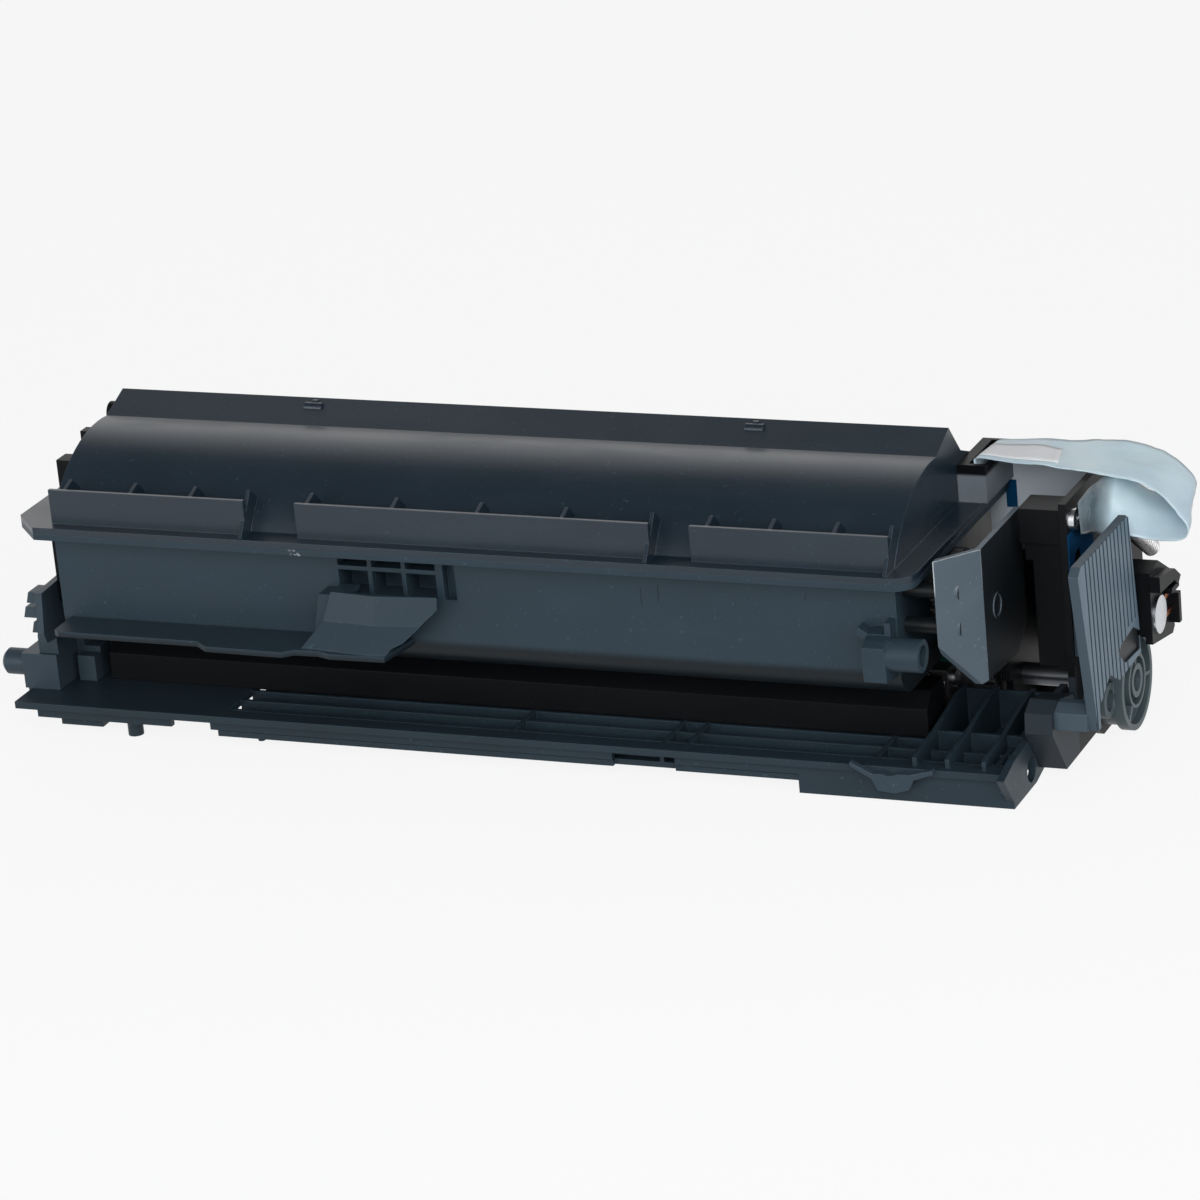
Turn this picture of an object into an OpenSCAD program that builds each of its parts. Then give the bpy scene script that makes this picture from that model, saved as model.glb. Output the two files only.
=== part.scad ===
// Toner cartridge of a small copier: hopper with a barrel lid, drum, developer,
// cleaning unit, drum shutter, ribbed base and the pull-out seal film.
// X runs along the drum to the end with the grip plate, Y to the back, Z up.
// The origin is the middle of the footprint, on the surface the cartridge stands on.

/* [Hopper] */
// Left end of the hopper, from the middle of the cartridge
hopper_left = -140; // [-150:1:-130]
// Length of the hopper
hopper_len = 245; // [235:1:255]
// Front face of the hopper, from the middle of the cartridge
hopper_front = -40; // [-44:1:-36]
// Height of the joint between lid and hopper
seam_z = 62.7; // [62:0.1:64]
// Wall of the moulded shells
shell_wall = 1.8; // [1.4:0.1:2.2]
// Thickness of the lid's and the hopper's flanges
flange_t = 1.8; // [1.4:0.1:2.2]
// How far the flange stands out in front
flange_out = 6; // [4:0.5:7]
// Depth of the flange from front to back
flange_depth = 93; // [90:1:95]
// How far the flange's guide stands out past the hopper's left end
guide_out = 11.5; // [10:0.5:12]
// Underside of the hopper
hopper_floor_z = 28.5; // [28:0.5:29]
// Radius where the front wall turns under
hopper_turn_r = 8; // [5:0.5:12]

/* [Lid] */
// Radius of the barrel
barrel_r = 37.7; // [37:0.1:39]
// Barrel centre behind the hopper's front face
barrel_back = 33; // [32:0.5:34]
// Height of the barrel's centre
barrel_z = 44.9; // [44:0.1:46]
// Depth of the flat strip behind the barrel
strip_depth = 11; // [8:0.5:13]
// Height of the strip's back edge
lid_top_z = 86.7; // [85:0.1:89]
// Height of the wall at the barrel's foot, above the flange
foot_rib_h = 9.8; // [7:0.1:11]
// Thickness of the wall at the barrel's foot
foot_rib_t = 1.2; // [1:0.1:1.6]
// Thickness of the small gussets
gusset_t = 1; // [0.8:0.1:1.4]

/* [Drum] */
// Radius of the drum
drum_r = 12; // [11:0.1:12.2]
// Wall of the drum's tube
drum_wall = 0.8; // [0.6:0.1:1.2]
// Drum axis, from front to back
drum_y = 19; // [18.5:0.5:20]
// Height of the drum axis
drum_z = 14; // [13.8:0.1:14.5]
// Radius of the drum's fixed shaft
drum_shaft_r = 3; // [2.5:0.1:3.5]
// Radial running clearance of every shaft
run_gap = 0.05; // [0.03:0.01:0.08]
// Radial clearance of shafts and pins seated in fixed holes
seat_gap = 0.03; // [0.02:0.01:0.05]
// Clearance between parts that pass each other
side_gap = 0.4; // [0.3:0.05:0.6]

/* [Gears] */
// Module of the gear train
gear_module = 0.8; // [0.79:0.01:0.81]
// Width of the gears
gear_w = 5; // [4:0.5:6]
// Teeth on the drum gear
drum_teeth = 32;
// Teeth on the developer gear
developer_teeth = 18;
// Teeth on the idler
idler_teeth = 28;
// Teeth on the agitator gear
agitator_teeth = 30;

/* [Rollers] */
// Radius of the developer sleeve
developer_r = 7.7; // [7.2:0.1:7.7]
// Direction from the drum to the developer roller
developer_angle = 30; // [27:1:33]
// Radius of the charge roller
charge_r = 5; // [4.5:0.1:5.2]
// Direction from the drum to the charge roller
charge_angle = 165; // [162:1:168]
// Gap between the drum and a roller
roller_gap = 0.3; // [0.3:0.05:0.5]
// Radius of the charge roller's and the agitator's journals
journal_r = 2.5; // [2:0.1:2.8]

/* [Agitator] */
// Agitator axis, from front to back
agitator_y = -12; // [-13:0.5:-11]
// Height of the agitator axis
agitator_z = 47.5; // [47:0.5:48]
// Reach of the agitator's paddle
paddle_r = 16; // [13:0.5:16.2]

/* [Base] */
// Left end of the base
base_left = -159; // [-161:1:-157]
// Outer face of the base's right side plate, past the hopper's end
base_right_out = 28.5; // [28:0.5:29]
// Front edge of the base
base_front = -41; // [-43:0.5:-40]
// Upper face of the base
base_top = 10; // [9.5:0.1:10.2]
// Thickness of the base's plates
base_t = 2; // [1.6:0.1:2.4]
// Thickness of the base's ribs
rib_t = 1.2; // [1:0.1:1.6]
// Back of the ribbed field
base_back = 3.5; // [3:0.5:4]

/* [Ends] */
// Outer face of the left end plate
left_plate_x = -150; // [-152:0.5:-149]
// Thickness of the end plates
end_plate_t = 2; // [1.6:0.1:2.4]
// How far the pin's root block stands out of the left end plate
pin_block_out = 11; // [8:0.5:12]
// Tip of the guide pin
guide_pin_x = -168.5; // [-172:0.5:-165]
// Radius of the guide pin
guide_pin_r = 3.75; // [3.2:0.05:4]
// Outer face of the right end plate, past the hopper's end
right_plate_out = 36; // [35:0.5:37]
// Outer face of the grip plate, past the hopper's end
grip_out = 47.5; // [47:0.1:48.5]
// Thickness of the grip plate
grip_t = 2.6; // [2:0.1:3]
// Number of grooves in the grip plate
groove_count = 13; // [8:1:14]
// Radius of the round end cap
cap_r = 13.4; // [12.8:0.1:13.6]

/* [Seal film] */
// Width of the seal film
film_w = 18; // [16:0.5:20]
// Thickness of the film strip
film_t = 0.5; // [0.4:0.1:0.6]
// Front edge of the film
film_front = 14; // [13:0.5:15]

/* [Hidden] */
$fn = 48;

hopper_right = hopper_left + hopper_len;

// A station along the hopper, drawn for the usual length of 245 and moved with the real one
usual_len = 245;
function station(x) = hopper_left + x * hopper_len / usual_len;
EPS = 0.01;

// Lid section
barrel_y = hopper_front + barrel_back;
kink_y = barrel_y + 4;
kink_z = barrel_z + sqrt(barrel_r * barrel_r - 16);
strip_y = kink_y + strip_depth;
lid_back_y = strip_y + 8;
lid_back_z = seam_z + 0.625 * (lid_top_z - seam_z);
slope_end_y = 42;
flange_front = hopper_front - flange_out;
flange_back = flange_front + flange_depth;
lid_flange_top = seam_z + flange_t;
hopper_flange_bottom = seam_z - flange_t;
flange_end_out = 6.5;

// Hopper trough
trough_back = 14;
slot_front = film_front + 3;
slot_back = film_front + film_w - 3;

// Gear train: the idler sits where its distances to the drum and the agitator meet
mesh_r = gear_module / 2;
drum_gear_r = drum_teeth * mesh_r;
idler_to_drum = (drum_teeth + idler_teeth) * mesh_r;
idler_to_agitator = (agitator_teeth + idler_teeth) * mesh_r;
developer_dist = (drum_teeth + developer_teeth) * mesh_r;
train_dist = norm([agitator_y - drum_y, agitator_z - drum_z]);
train_angle = atan2(agitator_z - drum_z, agitator_y - drum_y);
idler_lean = acos((idler_to_drum ^ 2 + train_dist ^ 2 - idler_to_agitator ^ 2)
    / (2 * idler_to_drum * train_dist));
idler_angle = train_angle - idler_lean;
idler_y = drum_y + idler_to_drum * cos(idler_angle);
idler_z = drum_z + idler_to_drum * sin(idler_angle);
developer_y = drum_y + developer_dist * cos(developer_angle);
developer_z = drum_z + developer_dist * sin(developer_angle);
charge_dist = drum_r + charge_r + roller_gap;
charge_y = drum_y + charge_dist * cos(charge_angle);
charge_z = drum_z + charge_dist * sin(charge_angle);
gear_x = hopper_right + 3.5;
gear_end = gear_x + gear_w;

// Stations along the length
drum_left = hopper_left + 2;
drum_right = hopper_right - 2;
left_plate_in = left_plate_x + end_plate_t;
right_plate_x = hopper_right + right_plate_out;
right_plate_in = right_plate_x - end_plate_t;
base_right = hopper_right + base_right_out;
grip_x = hopper_right + grip_out;
cap_x = right_plate_x + 8.4;

// Extrudes a front-to-back section, drawn as (y, z), from x0 to x1
module along(x0, x1) {
    translate([x0, 0, 0]) rotate([90, 0, 90]) linear_extrude(x1 - x0) children();
}

// A round bar along X about (y, z)
module bar(x0, x1, y, z, r) {
    translate([x0, y, z]) rotate([0, 90, 0]) cylinder(r = r, h = x1 - x0);
}

// A block between two corners
module block(a, b) {
    translate(a) cube(b - a);
}

// A spur gear's outline with one tooth on the +x side, turned by turn
module gear_outline(teeth, turn = 0) {
    pitch = teeth * mesh_r;
    root = pitch - 1.2 * gear_module;
    tip = pitch + 0.9 * gear_module;
    step = 360 / teeth;
    rotate(turn) polygon([
        for (i = [0 : teeth - 1])
            for (p = [[-0.34, root], [-0.23, pitch], [-0.11, tip], [0.11, tip], [0.23, pitch], [0.34, root]])
                p[1] * [cos(step * (i + p[0])), sin(step * (i + p[0]))]
    ]);
}

// Turn of a follower gear whose gap faces a tooth of the gear that drives it
function mesh_turn(from_turn, from_teeth, to_teeth, angle) =
    angle + 180 + (angle - from_turn) * from_teeth / to_teeth + 180 / to_teeth;

// Lid

module lid_profile(inset) {
    difference() {
        union() {
            intersection() {
                translate([barrel_y, barrel_z]) circle(barrel_r - inset, $fn = 120);
                translate([hopper_front - 1, 0]) square([kink_y - hopper_front + 1, lid_top_z]);
            }
            polygon([
                [kink_y - EPS, seam_z], [kink_y - EPS, kink_z - inset],
                [strip_y - 0.6 * inset, lid_top_z - 1.2 * inset],
                [lid_back_y - 0.6 * inset, lid_back_z - 1.2 * inset],
                [slope_end_y - inset, lid_flange_top + 3 - 1.2 * inset],
                [slope_end_y - inset, seam_z]
            ]);
        }
        translate([hopper_front - barrel_r, 0]) square([2 * barrel_r + 100, seam_z]);
    }
}

// Flange seen from above, with the chamfered guide corner at the left
module flange_outline() {
    left = hopper_left - guide_out;
    right = hopper_right + flange_end_out;
    difference() {
        polygon([
            [left + 8.5, flange_front], [left, flange_front + 9], [left, flange_back - 12],
            [left + 4, flange_back - 8], [left + 4, flange_back],
            [right, flange_back], [right, flange_front]
        ]);
        translate([right - 6, flange_front]) difference() {
            translate([0, -1]) square([7, 7]);
            translate([0, 6]) circle(6);
        }
    }
}

// Small rounded catch on the strip's back edge
module lid_catch(x) {
    along(x - 2.6, x + 2.6) translate([strip_y - 3, lid_top_z - 1.9]) circle(1.5);
    along(x - 0.8, x + 0.8) translate([strip_y - 1.8, lid_top_z - 1.7]) circle(1.7);
}

foot_runs = [[1.2, 60.6], [76, 178.5], [190, usual_len - 0.2]];
small_gussets = [5.3, 25.4, 43.7, 78.8, 103.9, 128.7, 153.2, 194.2, 211.7, 229.3];

// Height of the barrel's surface at y
function barrel_at(y) = barrel_z + sqrt(barrel_r ^ 2 - (y - barrel_y) ^ 2);

module foot_gusset(x) {
    rib_top = lid_flange_top + foot_rib_h;
    back = hopper_front + 7;
    difference() {
        along(station(x), station(x) + gusset_t) polygon([
            [hopper_front - 1, lid_flange_top], [hopper_front - 1, rib_top],
            [hopper_front + 3, rib_top + 1.4], [back, rib_top - 2.4], [back, lid_flange_top]
        ]);
        bar(hopper_left, hopper_right, barrel_y, barrel_z, barrel_r - EPS, $fn = 120);
    }
}

module foot_end_gusset(x) {
    rib_top = lid_flange_top + foot_rib_h;
    back = hopper_front + 7;
    difference() {
        along(station(x) - gusset_t, station(x)) polygon([
            [flange_front + 0.6, lid_flange_top], [hopper_front + 3, rib_top + 1.4],
            [back, rib_top - 2.4], [back, lid_flange_top]
        ]);
        bar(hopper_left, hopper_right, barrel_y, barrel_z, barrel_r - EPS, $fn = 120);
    }
}

module hopper_lid() {
    color("#262b30") {
        difference() {
            union() {
                along(hopper_left, hopper_right) lid_profile(0);
                translate([0, 0, seam_z]) linear_extrude(flange_t) flange_outline();
            }
            along(hopper_left + shell_wall, hopper_right - shell_wall) lid_profile(shell_wall);
            // Slit through which the seal film leaves
            block([hopper_right - shell_wall - 1, film_front - 0.6, seam_z - 1],
                [film_rise_x + 1.5, film_front + film_w + 0.6, seam_z + 1.4]);
            block([film_rise_x - 1, film_front - 0.6, seam_z - 1],
                [film_rise_x + 1.5, film_front + film_w + 0.6, seam_z + flange_t + 1]);
            // Mouth below, open to the hopper
            block([hopper_left + shell_wall, hopper_front + shell_wall, seam_z - 1],
                [hopper_right - shell_wall, slope_end_y - shell_wall, seam_z + EPS]);
        }
        for (run = foot_runs) {
            block([station(run[0]), hopper_front - 1 - foot_rib_t, lid_flange_top - EPS],
                [station(run[1]), hopper_front - 1, lid_flange_top + foot_rib_h]);
            foot_end_gusset(run[1]);
        }
        for (x = small_gussets) foot_gusset(x);
        lid_catch(station(61));
        lid_catch(station(191.5));
    }
}

// Hopper

module trough_profile(inset) {
    front = hopper_front + inset;
    back = trough_back - inset;
    floor_z = hopper_floor_z + inset;
    turn = hopper_turn_r - inset;
    translate([front, floor_z + turn]) square([back - front, seam_z - floor_z - turn]);
    translate([front + turn, floor_z]) square([back - front - turn, seam_z - floor_z]);
    translate([front + turn, floor_z + turn]) circle(turn);
}

pocket_left = hopper_left + 86;
pocket_right = hopper_left + 115.5;
pocket_low = 48.5;
pocket_high = 59.2;
pocket_depth = 8;
pocket_rows = [[pocket_low, pocket_high - 3.8], [pocket_high - 2.6, pocket_high]];
boss_x = hopper_right - 6.6;
tube_y = hopper_front - 5.5;
tube_z = 43.6;
tube_r = 4.4;
tube_bore_r = 2.8;
tube_end = hopper_right + 8.5;

module toner_hopper() {
    color("#2a3036") {
        difference() {
            union() {
                along(hopper_left, hopper_right) trough_profile(0);
                translate([0, 0, hopper_flange_bottom]) linear_extrude(flange_t) flange_outline();
            }
            difference() {
                along(hopper_left + shell_wall, hopper_right - shell_wall) {
                    trough_profile(shell_wall);
                    translate([hopper_front + shell_wall, hopper_flange_bottom])
                        square([trough_back - hopper_front - 2 * shell_wall, 10]);
                }
                // Inner side of the grid pocket
                block([pocket_left - shell_wall, hopper_front, pocket_low - 1.2],
                    [pocket_right + 6 + shell_wall, hopper_front + pocket_depth + 1.2, pocket_high + 1.2]);
            }
            // Cells of the grid pocket
            for (i = [0 : 2])
                for (row = pocket_rows)
                    block([pocket_left + i * 10, hopper_front - 1, row[0]],
                        [pocket_left + i * 10 + 8.8, hopper_front + pocket_depth, row[1]]);
            block([pocket_right + 1.4, hopper_front - 1, pocket_low],
                [pocket_right + 5, hopper_front + 3, pocket_high]);
            // Slot above the developer, closed by the seal film
            block([hopper_left + 12, slot_front, hopper_flange_bottom - 1],
                [hopper_right - 9, slot_back, seam_z + 1]);
            // Bores for the agitator's shaft
            bar(hopper_left - 1, hopper_right + 1, agitator_y, agitator_z, journal_r + run_gap);
        }
        // Bracket with a vee top and the tube that it carries
        difference() {
            union() {
                along(boss_x, boss_x + 6.2) polygon([
                    [hopper_front + EPS, 35.6], [tube_y - 4, 37], [tube_y - 4.6, 46.6],
                    [tube_y - 2, 47.8], [hopper_front + EPS, 49]
                ]);
                translate([0, hopper_front + EPS, 0]) rotate([90, 0, 0]) linear_extrude(4.6) polygon([
                    [boss_x - 3.4, 48], [boss_x, 45.4], [boss_x + 6.2, 45.4], [boss_x + 6.2, 51.6],
                    [boss_x + 4.6, 51.6], [boss_x + 4.6, 48.4], [boss_x, 48.4], [boss_x - 2.6, 50]
                ]);
                bar(boss_x + 4, tube_end, tube_y, tube_z, tube_r);
            }
            bar(tube_end - 12, tube_end + 1, tube_y, tube_z, tube_bore_r);
        }
    }
}

// Guide rail and faceted bracket on the hopper's front

shelf_z = 35;
shelf_t = 1.6;
bracket_t = 1.4;

bracket_top = shelf_z + 16.4;
bracket_crease = hopper_left + 99.6;
bracket_skew = 6;

// Bracket seen from the side, its face set back by d
module bracket_side(d) {
    y = hopper_front;
    polygon([
        [y + 5, shelf_z], [y - 14 + d, shelf_z], [y - 14 + d, shelf_z + 2],
        [y - 9.4 + d, shelf_z + 8.4], [y - 8 + d, bracket_top - d], [y + 5, bracket_top - d]
    ]);
}

// One half of the bracket, turned about its crease
module bracket_half(d, x0, x1, turn) {
    intersection() {
        translate([bracket_crease, hopper_front - 10, 0]) rotate([0, 0, turn])
            translate([-bracket_crease, 10 - hopper_front, 0])
                along(bracket_crease - 40, bracket_crease + 40) bracket_side(d);
        block([x0, hopper_front - 30, shelf_z - 1], [x1, hopper_front + 3, bracket_top + 1]);
    }
}

// Bracket seen from the front, its sides set in by d
module bracket_front(d) {
    x0 = hopper_left;
    polygon([
        [x0 + 77 + 2 * d, shelf_z], [x0 + 83.6 + 1.6 * d, shelf_z + 8], [x0 + 86.4 + 1.2 * d, bracket_top],
        [x0 + 117.4 - d, bracket_top], [x0 + 117.4 - d, bracket_top - 3.4], [x0 + 108.4 - d, shelf_z + 4.6],
        [x0 + 105.4 - d, shelf_z + 3.4], [x0 + 103 - d, shelf_z]
    ]);
}

module bracket_body(d) {
    intersection() {
        union() {
            bracket_half(d, hopper_left + 70, bracket_crease + EPS, -bracket_skew);
            bracket_half(d, bracket_crease, hopper_left + 124, bracket_skew);
        }
        translate([0, hopper_front + 20, 0]) rotate([90, 0, 0]) linear_extrude(60) bracket_front(d);
    }
}

module front_guide() {
    x0 = hopper_left;
    y = hopper_front;
    color("#2c3238") difference() {
        union() {
            translate([0, 0, shelf_z]) linear_extrude(shelf_t) polygon([
                [x0 + 2.4, y + 4], [x0 + 2.4, y - 10.4], [x0 + 4, y - 11.6], [x0 + 47, y - 11.8],
                [x0 + 51, y - 15], [x0 + 74, y - 15.5], [x0 + 77, y - 13.2], [x0 + 84, y - 13],
                [x0 + 88, y - 14.4], [x0 + 104, y - 14], [x0 + 107, y + 4]
            ]);
            difference() {
                bracket_body(0);
                bracket_body(bracket_t);
                // Open top and open right side behind the face
                block([x0 + 92, y - 6, shelf_z + 6], [x0 + 130, y + 1, shelf_z + 30]);
            }
            // Step on the bracket's left face
            translate([0, y + 2, 0]) rotate([90, 0, 0]) linear_extrude(8.4) polygon([
                [x0 + 80.4, shelf_z + 5], [x0 + 82.6, bracket_top - 1], [x0 + 90.6, bracket_top - 1],
                [x0 + 91, shelf_z + 8.6], [x0 + 87.4, shelf_z + 5]
            ]);
        }
        along(hopper_left - 1, hopper_right + 1) trough_profile(0);
    }
}

// Agitator

module agitator() {
    color("#3a3f45") {
        difference() {
            bar(hopper_left - 4, gear_end, agitator_y, agitator_z, journal_r);
            // Flat that drives the gear
            block([gear_x - EPS, agitator_y - 4, agitator_z + journal_r - 0.6],
                [gear_end + 1, agitator_y + 4, agitator_z + 4]);
        }
        translate([0, agitator_y, agitator_z]) {
            for (i = [0 : 4]) {
                x = hopper_left + 12 + i * (hopper_len - 27) / 4;
                block([x, -1, -paddle_r], [x + 3, 1, 0]);
            }
            block([hopper_left + 12, -1, -paddle_r], [hopper_right - 12, 1, -paddle_r + 3]);
        }
    }
}

module agitator_blade() {
    color("#c9c4a8")
        translate([0, agitator_y, agitator_z])
            block([hopper_left + 14, 1, -paddle_r - 0.6], [hopper_right - 14, 1.2, -paddle_r + 2.6]);
}

drum_turn = developer_angle;
idler_turn = mesh_turn(drum_turn, drum_teeth, idler_teeth, idler_angle);
to_agitator = atan2(agitator_z - idler_z, agitator_y - idler_y);
agitator_turn = mesh_turn(idler_turn, idler_teeth, agitator_teeth, to_agitator);
developer_turn = mesh_turn(drum_turn, drum_teeth, developer_teeth, developer_angle);

module agitator_gear() {
    color("#d8d4c6") difference() {
        along(gear_x, gear_end) translate([agitator_y, agitator_z]) difference() {
            gear_outline(agitator_teeth, agitator_turn);
            for (a = [0 : 60 : 300]) rotate(a) translate([7.4, 0]) circle(1.9);
        }
        difference() {
            bar(gear_x - 1, gear_end + 1, agitator_y, agitator_z, journal_r);
            block([gear_x - 2, agitator_y - 4, agitator_z + journal_r - 0.6],
                [gear_end + 2, agitator_y + 4, agitator_z + 4]);
        }
    }
}

stud_r = 2;

module idler_gear() {
    color("#d8d4c6") difference() {
        along(gear_x, gear_end) translate([idler_y, idler_z]) gear_outline(idler_teeth, idler_turn);
        bar(gear_x - 1, gear_end + 1, idler_y, idler_z, stud_r + run_gap);
    }
}

// Stud on which the idler turns, carried by the hopper's end wall
module idler_stud() {
    color("#8c9196") {
        bar(hopper_right, gear_end + 1.4, idler_y, idler_z, stud_r);
        bar(hopper_right, gear_x - side_gap, idler_y, idler_z, stud_r + 1.4);
        bar(gear_end + side_gap, gear_end + 1.4, idler_y, idler_z, stud_r + 1);
    }
}

// Folded cover over the gears

cover_left = hopper_right + 10.5;
cover_right = cover_left + 9.3;
cover_top = 67.2;
cover_back = 4;
cover_front = hopper_front + 0.6;
cover_fold_y = cover_front + 11;
cover_t = 1.5;

module gear_cover() {
    color("#31373d") {
        intersection() {
            translate([0, 0, 20]) linear_extrude(cover_top - 20) polygon([
                [cover_left, cover_front], [cover_right, cover_fold_y], [cover_right, cover_back],
                [cover_right - cover_t, cover_back], [cover_right - cover_t, cover_fold_y + 0.6],
                [cover_left, cover_front + 2.1]
            ]);
            along(cover_left - 1, cover_right + 1) polygon([
                [cover_front - 1, 84], [cover_back, 84], [cover_back, 35.5], [cover_back - 8, 29.5],
                [cover_fold_y, 31], [cover_fold_y - 1.5, 30.4], [cover_front, 44], [cover_front - 1, 46]
            ]);
        }
        // Moulded oval mark on the side
        translate([cover_right - EPS, -18.6, 48.2]) rotate([0, 90, 0]) difference() {
            cylinder(r = 3.4, h = 0.4);
            translate([0, 0, -1]) cylinder(r = 2.8, h = 2);
        }
        // Posts from the hopper's end wall
        for (z = [47, 57]) bar(hopper_right, cover_left + 4.6, cover_front + 6.6, z, 2.2);
    }
}

// Seal film and the guide it leaves by

film_exit_z = 76.8;
film_run_z = 73.4;
film_loop_r = 8;
film_loop_x = right_plate_x + 27.5 - film_loop_r;
film_tail_x = right_plate_x + 5;
guide_x0 = hopper_right;
guide_x1 = hopper_right + 8;
guide_top = 75;
film_rise_x = hopper_right + 4;

// The film seen from the front: flat on the slot, up through its guide, out and back in a loop
film_low_z = seam_z + 0.1;
film_run_x = right_plate_x + 2;
film_loop_steps = 24;

function film_arc(r, from, to) = [
    for (i = [0 : film_loop_steps])
        let (a = from + (to - from) * i / film_loop_steps)
            [film_loop_x + r * cos(a), film_run_z - film_loop_r + r * sin(a)]
];

module film_path() {
    t = film_t;
    polygon(concat(
        [[hopper_left + 8, film_low_z + t], [film_rise_x, film_low_z + t], [film_rise_x, film_exit_z],
            [film_run_x, film_run_z]],
        film_arc(film_loop_r, 90, -90),
        [[film_tail_x, film_run_z - 2 * film_loop_r], [film_tail_x, film_run_z - 2 * film_loop_r + t]],
        film_arc(film_loop_r - t, -90, 90),
        [[film_run_x, film_run_z - t], [film_rise_x + t, film_exit_z - t], [film_rise_x + t, film_low_z],
            [hopper_left + 8, film_low_z]]
    ));
}

module seal_film() {
    color("#b9cad6")
        translate([0, film_front + film_w, 0]) rotate([90, 0, 0]) linear_extrude(film_w) film_path();
}

module film_guide() {
    y0 = film_front - 0.6;
    y1 = film_front + film_w + 0.6;
    color("#15181b") difference() {
        block([guide_x0, y0 - 1.4, lid_flange_top], [guide_x1, y1 + 1.4, guide_top]);
        block([film_rise_x - 1, y0, lid_flange_top - 1], [film_rise_x + 1.5, y1, guide_top + 1]);
        block([film_rise_x - 1, y0, guide_top - 2], [guide_x1 + 1, y1, guide_top + 1]);
    }
}

// Drum

plug_len = 6;

module drum() {
    color("#2f7f74") difference() {
        bar(drum_left, drum_right, drum_y, drum_z, drum_r, $fn = 96);
        bar(drum_left - 1, drum_right + 1, drum_y, drum_z, drum_r - drum_wall, $fn = 96);
    }
}

module drum_gear() {
    color("#e3e0d4") difference() {
        union() {
            along(gear_x, gear_end) translate([drum_y, drum_z]) gear_outline(drum_teeth, drum_turn);
            bar(drum_right, gear_x + EPS, drum_y, drum_z, drum_r - 0.6);
            bar(drum_right - plug_len, drum_right + EPS, drum_y, drum_z, drum_r - drum_wall - 0.02);
        }
        bar(drum_right - plug_len - 1, gear_end + 1, drum_y, drum_z, drum_shaft_r + run_gap);
        // Lightening ring in the outer face
        difference() {
            bar(gear_end - 2.5, gear_end + 1, drum_y, drum_z, 10);
            bar(gear_end - 3, gear_end + 2, drum_y, drum_z, 6);
        }
    }
}

module drum_end_flange() {
    color("#e3e0d4") difference() {
        union() {
            bar(drum_left - 4, drum_left, drum_y, drum_z, drum_r - 0.6);
            bar(drum_left - EPS, drum_left + plug_len, drum_y, drum_z, drum_r - drum_wall - 0.02);
        }
        bar(drum_left - 5, drum_left + plug_len + 1, drum_y, drum_z, drum_shaft_r + run_gap);
    }
}

module drum_shaft() {
    color("#b9bec3") {
        bar(left_plate_x, cap_x - 1.5, drum_y, drum_z, drum_shaft_r);
    }
}

// Developer

sleeve_wall = 0.8;
sleeve_left = hopper_left + 10;
sleeve_right = hopper_right - 9;
magnet_r = developer_r - sleeve_wall - 0.4;
sleeve_journal_r = 3.2;
core_r = 2;

module developer_sleeve() {
    color("#4a4f55") difference() {
        union() {
            bar(sleeve_left, sleeve_right, developer_y, developer_z, developer_r, $fn = 72);
            bar(sleeve_left - 6.6, sleeve_left + EPS, developer_y, developer_z, sleeve_journal_r);
            bar(sleeve_right - EPS, gear_x, developer_y, developer_z, sleeve_journal_r);
        }
        bar(sleeve_left + 2, sleeve_right - 2, developer_y, developer_z, developer_r - sleeve_wall, $fn = 72);
        bar(sleeve_left - 8, gear_end + 1, developer_y, developer_z, core_r + run_gap);
    }
}

module developer_gear() {
    color("#d8d4c6") difference() {
        along(gear_x, gear_end) translate([developer_y, developer_z]) gear_outline(developer_teeth, developer_turn);
        bar(gear_x - 1, gear_end + 1, developer_y, developer_z, core_r + run_gap);
    }
}

// Fixed magnet inside the sleeve, held by its flatted ends in the end plates
module magnet_core() {
    color("#6b6f73") {
        bar(sleeve_left + 3, sleeve_right - 3, developer_y, developer_z, magnet_r, $fn = 72);
        bar(left_plate_in - 1.4, right_plate_in + 1.4, developer_y, developer_z, core_r);
    }
}

rear_left = hopper_left + 3;
rear_right = hopper_right - 3;
rear_y = 53.5;
chamber_wall = 2;

// Developer housing in section: a chamber open towards the sleeve
module chamber_section() {
    w = chamber_wall;
    top = hopper_flange_bottom;
    front = trough_back + 1;
    polygon([
        [33, 34.6], [28, 34.6], [front, 46], [front, top], [rear_y - 5, top], [rear_y, 50], [rear_y, 15],
        [47, 8], [40, 8], [34, 11.6], [34, 14.2], [36, 14.2], [36, 12.8], [40.6, 8 + w], [46.2, 8 + w],
        [rear_y - w, 15.8], [rear_y - w, 49.5], [rear_y - 6.2, top - w], [front + w, top - w],
        [front + w, 47], [28.8, 34.6 + w], [33, 34.6 + w]
    ]);
}

module chamber_end() {
    top = hopper_flange_bottom;
    front = trough_back + 1;
    polygon([
        [front, top], [front, 46], [28, 34.6], [29.4, 29], [31, 22], [33.4, 14.2], [34, 11.6], [40, 8],
        [47, 8], [rear_y, 15], [rear_y, 50], [rear_y - 5, top]
    ]);
}

module developer_frame() {
    color("#202428") difference() {
        union() {
            along(rear_left, rear_right) chamber_section();
            along(rear_left, rear_left + chamber_wall) chamber_end();
            along(rear_right - chamber_wall, rear_right) chamber_end();
        }
        // Slot that receives the toner
        block([hopper_left + 12, slot_front, hopper_flange_bottom - chamber_wall - 1],
            [hopper_right - 9, slot_back, hopper_flange_bottom + 1]);
        bar(rear_left - 1, rear_right + 1, developer_y, developer_z, sleeve_journal_r + run_gap);
    }
}

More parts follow.
